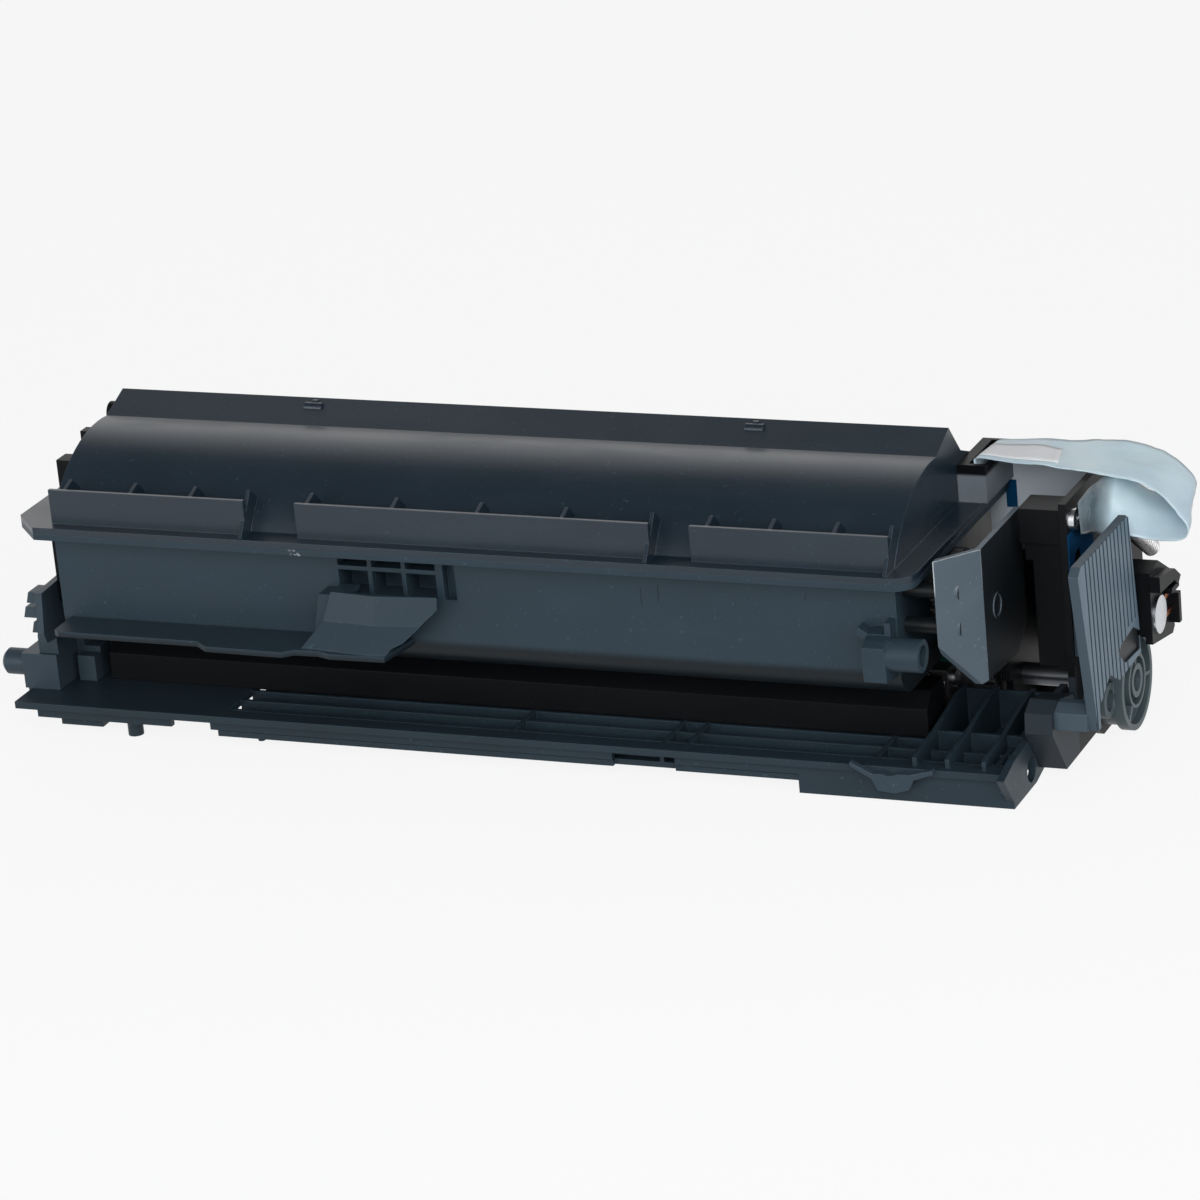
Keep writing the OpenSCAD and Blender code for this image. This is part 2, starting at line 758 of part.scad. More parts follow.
module doctor_blade() {
    blade_t = 1;
    tip_z = developer_z + developer_r + 0.4;
    color("#a9adb0") along(rear_left + 4, rear_right - 4) polygon([
        [28.6, 34.6 - blade_t], [28.6, 34.6], [32.8, 34.6], [37, tip_z + blade_t], [37, tip_z],
        [32.6, 34.6 - blade_t]
    ]);
}

cover_pitch = (rear_right - rear_left - 14) / 9;

module developer_cover() {
    color("#24282c") {
        difference() {
            block([rear_left + 4, rear_y, 17], [rear_right - 4, rear_y + 1.4, 48]);
            for (i = [0 : 8])
                block([rear_left + 12 + i * cover_pitch, rear_y + 0.8, 22],
                    [rear_left + 12 + (i + 0.8) * cover_pitch, rear_y + 2, 43]);
        }
        for (i = [0 : 9])
            block([rear_left + 8.4 + i * cover_pitch, rear_y + 1.4 - EPS, 19],
                [rear_left + 9.6 + i * cover_pitch, rear_y + 2, 46]);
    }
}

// Charge roller

charge_left = hopper_left + 8;
charge_right = hopper_right - 8;
charge_front = charge_y - 5;
charge_spring_len = 3.3;

module charge_roller() {
    color("#1c1e20") difference() {
        bar(charge_left, charge_right, charge_y, charge_z, charge_r);
        bar(charge_left - 1, charge_right + 1, charge_y, charge_z, journal_r);
    }
}

module charge_shaft() {
    color("#c3c7cb") bar(charge_left - 8, charge_right + 8, charge_y, charge_z, journal_r);
}

module charge_bearings() {
    color("#e6e3d8")
        for (x = [charge_left - 7, charge_right + 2])
            difference() {
                block([x, charge_front, base_top], [x + 5, base_back - 0.1, charge_z + 3.6]);
                bar(x - 1, x + 6, charge_y, charge_z, journal_r + run_gap);
                // Mouth that lets the shaft snap in
                block([x - 1, charge_y, charge_z - journal_r + 0.4],
                    [x + 6, base_back + 1, charge_z + journal_r - 0.4]);
            }
}

// A wound spring as a plain sleeve along +X
module spring_sleeve(len, r, wire) {
    rotate([0, 90, 0]) difference() {
        cylinder(r = r, h = len);
        translate([0, 0, -1]) cylinder(r = r - wire, h = len + 2);
    }
}

module charge_springs() {
    color("#b8bcc0")
        for (x = [charge_left - 4.5, charge_right + 4.5])
            translate([x, charge_front, charge_z]) rotate([0, 0, -90])
                spring_sleeve(charge_spring_len, 2, 0.5);
}

// Cleaning unit

bin_front = -20;
bin_back = charge_front - charge_spring_len;
bin_top = 21.8;
bin_wall = 1.6;
edge_top = base_top - 0.02;

module waste_bin() {
    w = bin_wall;
    color("#101214") difference() {
        along(hopper_left + 1, hopper_right - 1) difference() {
            polygon([
                [bin_front, base_top], [bin_front, bin_top - 4], [bin_front + 4, bin_top],
                [bin_back, bin_top], [bin_back, base_top]
            ]);
        }
        along(hopper_left + 1 + w, hopper_right - 1 - w) {
            polygon([
                [bin_front + w, base_top + w], [bin_front + w, bin_top - 4.6],
                [bin_front + 4.6, bin_top - w], [bin_back - w, bin_top - w], [bin_back - w, base_top + w]
            ]);
        }
        // Mouth behind the cleaning blade
        block([charge_left + 2, bin_back - w - 1, base_top + 2], [charge_right - 2, bin_back + 1, base_top + 5]);
    }
}

module cleaning_blade() {
    color("#a9adb0") along(charge_left, charge_right) polygon([
        [bin_back, base_top], [bin_back, base_top + 1.2], [drum_y - 13.6, base_top + 1.2], [drum_y - 13.6, base_top]
    ]);
}

module cleaning_edge() {
    color("#b98a4a") along(charge_left + 1, charge_right - 1) polygon([
        [drum_y - 15, base_top - 1.3], [drum_y - 15, base_top], [drum_y - 11.8, base_top],
        [drum_y - 12.2, base_top - 1.3]
    ]);
}

// Shutter under the drum

shutter_gap = 0.7;
shutter_t = 1.2;
pivot_y = 48;
pivot_z = 5.2;
pivot_r = 2;
shutter_left = hopper_left - 0.5;
wall_x = hopper_right + 11;
wall_t = 2;
shutter_right = hopper_right + 0.5;

module shutter_section() {
    difference() {
        translate([drum_y, drum_z]) circle(drum_r + shutter_gap + shutter_t, $fn = 96);
        translate([drum_y, drum_z]) circle(drum_r + shutter_gap, $fn = 96);
        translate([drum_y, drum_z]) polygon([
            [0, 0], 40 * [cos(228), sin(228)], [-60, 0], [-60, 60], [60, 60], [60, 0], 40 * [cos(322), sin(322)]
        ]);
    }
}

module drum_shutter() {
    color("#5b3f22") difference() {
        union() {
            along(shutter_left, shutter_right) shutter_section();
            for (x = [shutter_left, shutter_right - 2])
                along(x, x + 2) difference() {
                    union() {
                        polygon([
                            [drum_y + 1, 0.5], [drum_y + 10.6, 5], [drum_y + 12, 6.2], [pivot_y, pivot_z + 3.4],
                            [pivot_y, pivot_z - 3.4], [drum_y + 8, 0.5]
                        ]);
                        translate([pivot_y, pivot_z]) circle(3.4);
                    }
                    translate([drum_y, drum_z]) circle(drum_r + shutter_gap);
                }
        }
        bar(shutter_left - 1, shutter_right + 1, pivot_y, pivot_z, pivot_r + run_gap);
    }
}

module shutter_pins() {
    color("#b9bec3") {
        bar(left_plate_in - 1.4, shutter_left + 2.4, pivot_y, pivot_z, pivot_r);
        bar(shutter_right - 2.4, wall_x + 1.4, pivot_y, pivot_z, pivot_r);
    }
}

module shutter_spring() {
    color("#b8bcc0") translate([left_plate_in + 0.4, pivot_y, pivot_z])
        spring_sleeve(6.4, pivot_r + 1.3, 0.8);
}

// Base with its grid of ribs

skirt_step_x = station(214);
plate_end_x = hopper_left + 45;
rib_rows = [-34.6, -27.6, -20.6];
rib_columns = [130, 174, 181, 234, 244, 255, 267];
floor_low = 3.4;
floor_t = 1.6;
pivot_hole_y = -24.4;
pivot_hole_z = 5.15;
pivot_hole_r = 3.6;

module side_plate_outline(low) {
    polygon([
        [base_front - 5.5, base_top + 0.6], [base_front + 3, low], [base_front + 20, low], [-7.7, max(low, 2.8)],
        [base_back + 5, max(low, 3)], [base_back + 5, 16], [-3.8, 16.3], [-21.8, 13.6], [-36.9, 12.8]
    ]);
}

module base_frame() {
    back_low = floor_low;
    color("#22272c") difference() {
        union() {
            // Plain plate at the left
            block([base_left, base_front, base_top - base_t], [plate_end_x, base_back, base_top]);
            // Front skirt, deeper at the right
            block([base_left + 6, base_front + 1.6, 5.3], [base_right, base_front + 3.4, base_top]);
            block([skirt_step_x, base_front + 1.6, 0], [base_right, base_front + 3.4, base_top]);
            // Front lip
            block([plate_end_x - EPS, base_front, base_top - base_t], [base_right, base_front + 5, base_top]);
            // Floor under the ribs
            block([plate_end_x - 2, base_front + 2, floor_low], [base_right, base_back, floor_low + floor_t]);
            // Back wall
            block([base_left, base_back - rib_t, back_low], [base_right, base_back, base_top]);
            for (y = rib_rows)
                block([plate_end_x - EPS, y, floor_low + 0.6], [base_right, y + rib_t, base_top - 0.4]);
            for (x = rib_columns)
                block([station(x), base_front + 2, floor_low + 0.6],
                    [station(x) + rib_t, base_back, base_top - 0.2]);
            // Raised pockets beside the right side plate
            for (x = [hopper_right + 1, hopper_right + 10, hopper_right + 20])
                intersection() {
                    along(x, x + rib_t) side_plate_outline(floor_low);
                    block([x - 1, base_front + 2, 0], [x + 3, base_back, 20]);
                }
            block([hopper_right + 1, base_back - rib_t, floor_low], [base_right, base_back, 15.4]);
            block([hopper_right + 1, -21.4, floor_low], [base_right, -21.4 + rib_t, 12.6]);
            along(base_right - base_t, base_right) side_plate_outline(0);
            // Feet
            block([base_left + 12, base_front + 4, 2.6], [base_left + 25, base_front + 10, base_top - 1]);
            translate([hopper_left + 14.5, base_front + 7, 0]) cylinder(r = 2.2, h = base_top - 1);
            translate([hopper_left + 53.7, base_front + 7, 1]) cylinder(r1 = 1, r2 = 2.4, h = base_top - 2);
        }
        // Notches in the skirt
        block([station(29), base_front - 1, 0], [station(41), base_front + 3.5, 7.4]);
        block([station(161), base_front - 1, 2], [station(179), base_front + 3.5, 7.6]);
        // Slits in the floor
        for (slit = [[44, -15.6], [64, -21.2], [99, -21.2], [118.6, -14.8], [142.4, -21], [180, -21.6]])
            translate([station(slit[0]), slit[1], 0]) rotate(-14) block([0, 0, 2], [7, 1.1, 7]);
        bar(base_right - base_t - 1, base_right + 1, pivot_hole_y, pivot_hole_z, pivot_hole_r);
    }
}

module edge_clip() {
    x0 = base_right - 43.5;
    y = base_front;
    color("#353b41") {
        translate([0, y, 0]) rotate([90, 0, 0]) linear_extrude(1.8) polygon([
            [x0, 11.4], [x0 + 6, 8.4], [x0 + 8.4, 8.6], [x0 + 10.4, 8], [x0 + 13.4, 8.8],
            [x0 + 16, 8.8], [x0 + 22.8, 10.6], [x0 + 22.8, 9.4], [x0 + 17.4, 7.4], [x0 + 16, 4.6],
            [x0 + 12, 3.4], [x0 + 7.4, 3.8], [x0 + 5.8, 7], [x0, 10.2]
        ]);
    }
}

// Left end

pin_y = -26;
pin_z = 16;

module left_end_frame() {
    color("#3a4148") {
        difference() {
            union() {
                along(left_plate_x, left_plate_in) polygon([
                    [-18, base_top], [-18, 25], [-37.6, 27], [-38.8, 30], [-37.4, 41.6], [-12, 42.8],
                    [-12, hopper_flange_bottom],
                    [46, hopper_flange_bottom], [55, 50], [55, 10], [52, 2.4], [30, 2.4], [28, 0], [10, 0],
                    [base_back + 0.4, 3], [base_back + 0.4, base_top]
                ]);
                bar(guide_pin_x + 1, left_plate_x + EPS, pin_y, pin_z, guide_pin_r);
                translate([guide_pin_x, pin_y, pin_z]) rotate([0, 90, 0])
                    cylinder(r1 = guide_pin_r - 1, r2 = guide_pin_r, h = 1.01);
                // Block that carries the pin, standing on the base
                block([left_plate_x - pin_block_out, pin_y - 4.6, base_top],
                    [left_plate_x + EPS, pin_y + 9, 20.4]);
                block([left_plate_x - pin_block_out + 5, pin_y - 3, 20.4 - EPS],
                    [left_plate_x + EPS, pin_y + 9, 25.6]);
                // Hook below the pin
                along(left_plate_x - pin_block_out, base_left - 0.3) polygon([
                    [pin_y - 3, 7.6], [pin_y - 3, base_top + 1], [pin_y + 2, base_top + 1], [pin_y + 2, 6]
                ]);
                // Stepped rest beside the plate
                along(left_plate_in - EPS, left_plate_in + 5.4) polygon([
                    [-22.4, base_top], [-22.4, 17.4], [-18.6, 17.4], [-18.6, 19], [-12, 19], [-12, base_top]
                ]);
                // Fins on the outer face
                for (fin = [[38.6, 3], [34.2, 4.4], [29.8, 2.4]])
                    along(left_plate_x - fin[1], left_plate_x + EPS) polygon([
                        [-37.4, fin[0]], [-36, fin[0] + 2.6], [-30, fin[0] + 2.6], [-30, fin[0]]
                    ]);
            }
            bar(left_plate_x - 1, left_plate_in + 1, drum_y, drum_z, drum_shaft_r + seat_gap);
            bar(left_plate_x + 0.56, left_plate_in + 1, pivot_y, pivot_z, pivot_r + seat_gap);
            bar(left_plate_x + 0.56, left_plate_in + 1, developer_y, developer_z, core_r + seat_gap);
        }
    }
}

// Cover over the agitator's left bearing, with the filling plug above it
module left_cover() {
    x1 = hopper_left;
    color("#1a1d20") {
        difference() {
            block([left_plate_in, -28, 36], [x1, 4, hopper_flange_bottom - 1]);
            block([left_plate_in + 1.4, -26.6, 37.4], [x1 + 1, 2.6, hopper_flange_bottom - 2.4]);
        }
        // Rest, stop and round plug on the lid's left end
        block([x1 - 10, -16.6, lid_flange_top], [x1, -11, 73.4]);
        block([x1 - 6, -8.3, lid_flange_top], [x1, -4.6, 79.3]);
        bar(x1 - 4, x1, 7, 80, 3);
    }
}

// Right end

plate_hole_r = 3.25;
plate_hole_y = 0.3;
plate_hole_z = 54.6;

module right_end_frame() {
    color("#3b4249") {
        difference() {
            union() {
                along(right_plate_in, right_plate_x) polygon([
                    [-7, 3], [-7, 72.5], [8, 72.5], [36, 72.5], [47, 61], [55, 50], [55, 10], [52, 2.4], [30, 2.4],
                    [28, 0], [14, 0], [9.2, 3]
                ]);
                // Wall that faces the front behind the gears
                block([hopper_right + flange_end_out + 0.6, 34, 47.5], [right_plate_in + EPS, 36, 72]);
                block([hopper_right + 0.8, 34, 47.5], [hopper_right + flange_end_out + 0.7, 36, hopper_flange_bottom - 0.6]);
                // Inner wall that carries the shafts
                along(wall_x, wall_x + wall_t) polygon([
                    [7, 16.4], [7, 47.5], [36, 47.5], [53, 44], [53, 10], [51, 2.4], [30, 2.4], [28, 0], [16, 0],
                    [9.2, 3], [9.2, 16.4]
                ]);
                block([wall_x, 53 - wall_t, 10], [right_plate_in + EPS, 53, 44]);
                block([wall_x, 34, 45.5], [right_plate_in + EPS, 36, 49]);
                // Block for the screw
                block([cover_right + 2.5, -5, 60.5], [right_plate_in + EPS, 6, 70]);
                block([cover_right + 3.5, -4, 55.5], [right_plate_in + EPS, 6, 60.6]);
                block([cover_right + 5.5, -4, 26], [right_plate_in + EPS, -2, 55.6]);
                // Foot on the base's side plate
                along(base_right, right_plate_x) polygon([
                    [-28, 16.4], [-27.4, 22], [-22.4, 24.2], [-9.8, 21], [-6.9, 16.4], [-6.9, 3], [-18, 3]
                ]);
            }
            bar(wall_x - 1, right_plate_x + 1, drum_y, drum_z, drum_shaft_r + seat_gap);
            bar(wall_x - 1, wall_x + 1.44, pivot_y, pivot_z, pivot_r + seat_gap);
            bar(wall_x - 1, right_plate_in + 1.44, developer_y, developer_z, core_r + seat_gap);
            bar(right_plate_in - 1, right_plate_x + 1, plate_hole_y, plate_hole_z, plate_hole_r);
        }
    }
}

module grip_outline() {
    polygon([
        [-34.2, 63.1], [-31.5, 64.9], [9.2, 64.4], [13.8, 31.4], [13.9, 24.3], [-4.9, 23.7],
        [-12.9, 28.3], [-19.6, 24.5], [-22.4, 23.7], [-22.4, 17.3], [-24.7, 17.3]
    ]);
}

module grip_plate() {
    inner = grip_x - grip_t;
    color("#39414a") difference() {
        union() {
            along(inner, grip_x) grip_outline();
            // Posts to the end plate
            block([right_plate_x, -6, 30], [inner + EPS, -3, 44]);
            block([right_plate_x, 4.5, 30], [inner + EPS, 7.5, 44]);
            // Tongue to the foot
            along(right_plate_x, inner + EPS) polygon([[-26, 17.3], [-26, 22], [-22.4, 23.7], [-19.6, 23.7], [-19.6, 17.3]]);
        }
        for (i = [0 : groove_count - 1])
            translate([grip_x, -26.4 + i * 3.05, 44]) rotate([4, 0, 0])
                block([-0.5, -0.45, i > 9 ? -9 : -40], [1, 0.45, 40]);
        // Flat field low at the back
        along(grip_x - 0.7, grip_x + 1) polygon([
            [8.6, 33.4], [14, 30.4], [13.4, 25.6], [0.6, 26.4], [-4.6, 30.4], [-2.4, 32.6]
        ]);
    }
}

lug_y = 2.7;
lug_z = 14.5;
lug_r = 4.8;
lug_bore_r = 3;

module bearing_cap() {
    x0 = right_plate_x;
    color("#2f353b") difference() {
        union() {
            bar(x0, cap_x - 3, drum_y, drum_z, cap_r - 1.2);
            bar(cap_x - 3.01, cap_x, drum_y, drum_z, cap_r);
            bar(x0, x0 + 6, lug_y, lug_z, lug_r);
            block([x0, lug_y, lug_z - 3], [x0 + 5, drum_y - 8, lug_z + 3]);
        }
        difference() {
            bar(cap_x - 2.2, cap_x + 1, drum_y, drum_z, cap_r - 1.6);
            bar(cap_x - 3, cap_x + 2, drum_y, drum_z, 7.4);
            // Spokes between the two rings
            for (a = [20 : 120 : 260])
                translate([0, drum_y, drum_z]) rotate([a, 0, 0]) block([cap_x - 3, -0.5, 6], [cap_x - 0.2, 0.5, cap_r]);
        }
        difference() {
            bar(cap_x - 2.2, cap_x + 1, drum_y, drum_z, 6.5);
            bar(cap_x - 3, cap_x + 2, drum_y, drum_z, 4.6);
            translate([0, drum_y, drum_z]) block([cap_x - 3, -0.5, 4], [cap_x - 0.2, 0.5, 7]);
        }
        bar(x0 - 1, cap_x + 1, drum_y, drum_z, drum_shaft_r + seat_gap);
        bar(x0 + 1, x0 + 7, lug_y, lug_z, lug_bore_r);
    }
}

bracket_x = right_plate_x + 14.5;
disk_y = 21;
disk_z = 32.5;

module contact_bracket() {
    color("#15171a") {
        difference() {
            along(right_plate_x, bracket_x) polygon([
                [15.2, 28], [15.2, 46], [23, 47], [34, 40.4], [34, 28]
            ]);
            along(right_plate_x + 2, bracket_x - 2) polygon([
                [17.2, 30], [17.2, 44], [22.6, 45], [36, 37], [36, 30]
            ]);
        }
        // Ledge and hook that guide the terminals
        along(bracket_x - 2, bracket_x) polygon([[15.2, 28.1], [15.2, 26], [33, 22.6], [35, 24], [34, 28.1]]);
        along(bracket_x - 0.01, bracket_x + 3) polygon([[14.5, 41], [14.5, 45.4], [28, 43], [33, 39.4], [30.4, 37.6], [27.4, 40]]);
        block([bracket_x - 0.01, 32, 26], [bracket_x + 2.4, 34, 34.5]);
        block([bracket_x - 0.01, 26.6, 36.2], [bracket_x + 2.4, 33, 37.8]);
    }
}

module electrode_disk() {
    color("#c9cdd0") bar(bracket_x, bracket_x + 0.8, disk_y, disk_z, 5.15);
}

module contact_strips() {
    color("#b5754a") {
        block([bracket_x, 26.4, 34.6], [bracket_x + 0.4, 31.8, 36]);
        block([bracket_x, 26.4, 29.4], [bracket_x + 0.4, 31.8, 30.8]);
    }
}

spring_from = [41.8, 43.2];
spring_to = [23.9, 55.2];

module pressure_spring() {
    lean = atan2(spring_to[1] - spring_from[1], spring_to[0] - spring_from[0]);
    color("#c5c8ca") translate([right_plate_x + 7, spring_from[0], spring_from[1]])
        rotate([lean, 0, 0]) rotate([0, 0, 90])
            spring_sleeve(norm(spring_to - spring_from), 2.5, 0.5);
}

// Two equal screws: one in the end plate, one in the hopper's end wall
module frame_screws() {
    color("#c5c8ca")
        for (at = [[right_plate_x, -3.4, 67.4], [right_plate_x, 42, 57]])
            difference() {
                translate(at) rotate([0, 90, 0]) cylinder(r = 2.95, h = 1.8);
                translate(at + [1.9, 0, 0]) rotate([90, 0, 90]) cube([0.8, 3.8, 1.6], center = true);
                translate(at + [1.9, 0, 0]) rotate([90, 0, 90]) cube([3.8, 0.8, 1.6], center = true);
            }
}

hopper_lid();
toner_hopper();
front_guide();
agitator();
agitator_blade();
agitator_gear();
idler_gear();
idler_stud();
gear_cover();
seal_film();
film_guide();
drum();
drum_gear();
drum_end_flange();
drum_shaft();
developer_sleeve();
developer_gear();
magnet_core();
developer_frame();
doctor_blade();
developer_cover();
charge_roller();
charge_shaft();
charge_bearings();
charge_springs();
waste_bin();
cleaning_blade();
cleaning_edge();
drum_shutter();
shutter_pins();
shutter_spring();
base_frame();
edge_clip();
left_end_frame();
left_cover();
right_end_frame();
grip_plate();
bearing_cap();
contact_bracket();
electrode_disk();
contact_strips();
pressure_spring();
frame_screws();
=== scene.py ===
"""Looks of a toner cartridge: moulded charcoal plastics, the pulled-out seal film, springs and fittings."""

import math

import bmesh
import bpy
from bpy.props import FloatProperty, FloatVectorProperty, IntProperty, PointerProperty
from mathutils import Matrix, Vector, noise


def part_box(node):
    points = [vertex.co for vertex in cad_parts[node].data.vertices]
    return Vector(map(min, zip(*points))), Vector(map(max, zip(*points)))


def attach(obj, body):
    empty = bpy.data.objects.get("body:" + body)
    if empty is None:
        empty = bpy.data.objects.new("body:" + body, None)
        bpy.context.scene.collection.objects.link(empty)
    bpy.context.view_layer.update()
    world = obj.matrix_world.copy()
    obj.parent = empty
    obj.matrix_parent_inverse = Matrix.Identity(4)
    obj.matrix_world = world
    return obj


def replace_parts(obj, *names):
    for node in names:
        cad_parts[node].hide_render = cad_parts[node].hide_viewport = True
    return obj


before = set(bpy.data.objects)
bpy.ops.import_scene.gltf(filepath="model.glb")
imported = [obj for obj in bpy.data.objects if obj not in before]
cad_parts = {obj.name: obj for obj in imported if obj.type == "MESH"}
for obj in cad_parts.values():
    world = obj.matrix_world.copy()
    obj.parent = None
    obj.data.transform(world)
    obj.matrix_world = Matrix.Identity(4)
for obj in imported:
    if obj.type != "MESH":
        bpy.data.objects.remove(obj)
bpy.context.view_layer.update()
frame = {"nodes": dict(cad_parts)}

bl_info = {
    "name": "Toner cartridge",
    "version": (1, 0, 0),
    "blender": (4, 5, 0),
    "location": "View3D > Sidebar > Cartridge",
    "description": "Finishes, seal film, springs and fittings of a toner cartridge",
    "category": "Add Mesh",
}

MM = 0.001
BODY = "cartridge_body"


def linear(r, g, b):
    """A colour given in 0 to 255 display values, as the shader wants it."""
    def one(v):
        v /= 255
        return v / 12.92 if v <= 0.04045 else ((v + 0.055) / 1.055) ** 2.4
    return (one(r), one(g), one(b))


# Sizes and colours that a user would change

class FilmSettings(bpy.types.PropertyGroup):
    thickness: FloatProperty(
        name="Thickness", description="Thickness of the seal film", default=0.0002, unit="LENGTH")
    crumple: FloatProperty(
        name="Crumple", description="Height of the film's waves", default=0.0006, unit="LENGTH")
    color: FloatVectorProperty(
        name="Colour", description="Colour of the film", subtype="COLOR", size=3,
        default=linear(218, 240, 255))
    foam_color: FloatVectorProperty(
        name="Foam", description="Colour of the sealing foam", subtype="COLOR", size=3,
        default=linear(16, 66, 104))
    label_color: FloatVectorProperty(
        name="Label", description="Colour of the bare label", subtype="COLOR", size=3,
        default=linear(246, 247, 249))


class ShellSettings(bpy.types.PropertyGroup):
    shell: FloatVectorProperty(
        name="Shell", description="Colour of the lid, hopper and base", subtype="COLOR", size=3,
        default=linear(43, 58, 68))
    frame: FloatVectorProperty(
        name="Frame", description="Colour of the end frames", subtype="COLOR", size=3,
        default=linear(53, 67, 77))
    black: FloatVectorProperty(
        name="Black", description="Colour of the black mouldings", subtype="COLOR", size=3,
        default=linear(14, 16, 19))
    edge_radius: FloatProperty(
        name="Edge radius", description="Radius of the moulded edges in the shading",
        default=0.0003, unit="LENGTH")
    grain: FloatProperty(
        name="Grain", description="Strength of the fine moulded grain", default=0.12, min=0, max=1)


class SpringSettings(bpy.types.PropertyGroup):
    wire: FloatProperty(
        name="Wire", description="Radius of the pressure spring's wire", default=0.00036, unit="LENGTH")
    turns: IntProperty(
        name="Turns", description="Turns of the pressure spring", default=13, min=3, max=30)
    wire_sides: IntProperty(
        name="Wire sides", description="Sides of the wire's section", default=8, min=6, max=16)


class StageSettings(bpy.types.PropertyGroup):
    camera_place: FloatVectorProperty(
        name="Camera", description="Place of the camera", subtype="TRANSLATION", size=3,
        default=(0.55491, -1.21724, 0.52971))
    focal_length: FloatProperty(
        name="Focal length", description="Focal length on a sensor 36 mm wide", default=157.04)
    key_energy: FloatProperty(name="Key", description="Power of the key lamp in watts", default=10.0)
    fill_energy: FloatProperty(name="Fill", description="Power of the left lamp in watts", default=2.6)
    side_energy: FloatProperty(name="Side", description="Power of the right lamp in watts", default=4.0)
    back_energy: FloatProperty(name="Back", description="Power of the lamp behind in watts", default=1.1)
    sky: FloatProperty(name="Sky", description="Strength of the world's light", default=0.2)


# Shader nodes written as expressions

class Socket:
    """An output socket that can be used in a sum."""

    def __init__(self, shader, output):
        self.shader = shader
        self.output = output

    def _math(self, operation, a, b):
        return self.shader.node("ShaderNodeMath", {"operation": operation}, {0: a, 1: b})

    def __add__(self, other):
        return self._math("ADD", self, other)

    def __radd__(self, other):
        return self._math("ADD", other, self)

    def __sub__(self, other):
        return self._math("SUBTRACT", self, other)

    def __rsub__(self, other):
        return self._math("SUBTRACT", other, self)

    def __mul__(self, other):
        return self._math("MULTIPLY", self, other)

    def __rmul__(self, other):
        return self._math("MULTIPLY", other, self)

    def __gt__(self, other):
        return self._math("GREATER_THAN", self, other)

    def __lt__(self, other):
        return self._math("LESS_THAN", self, other)


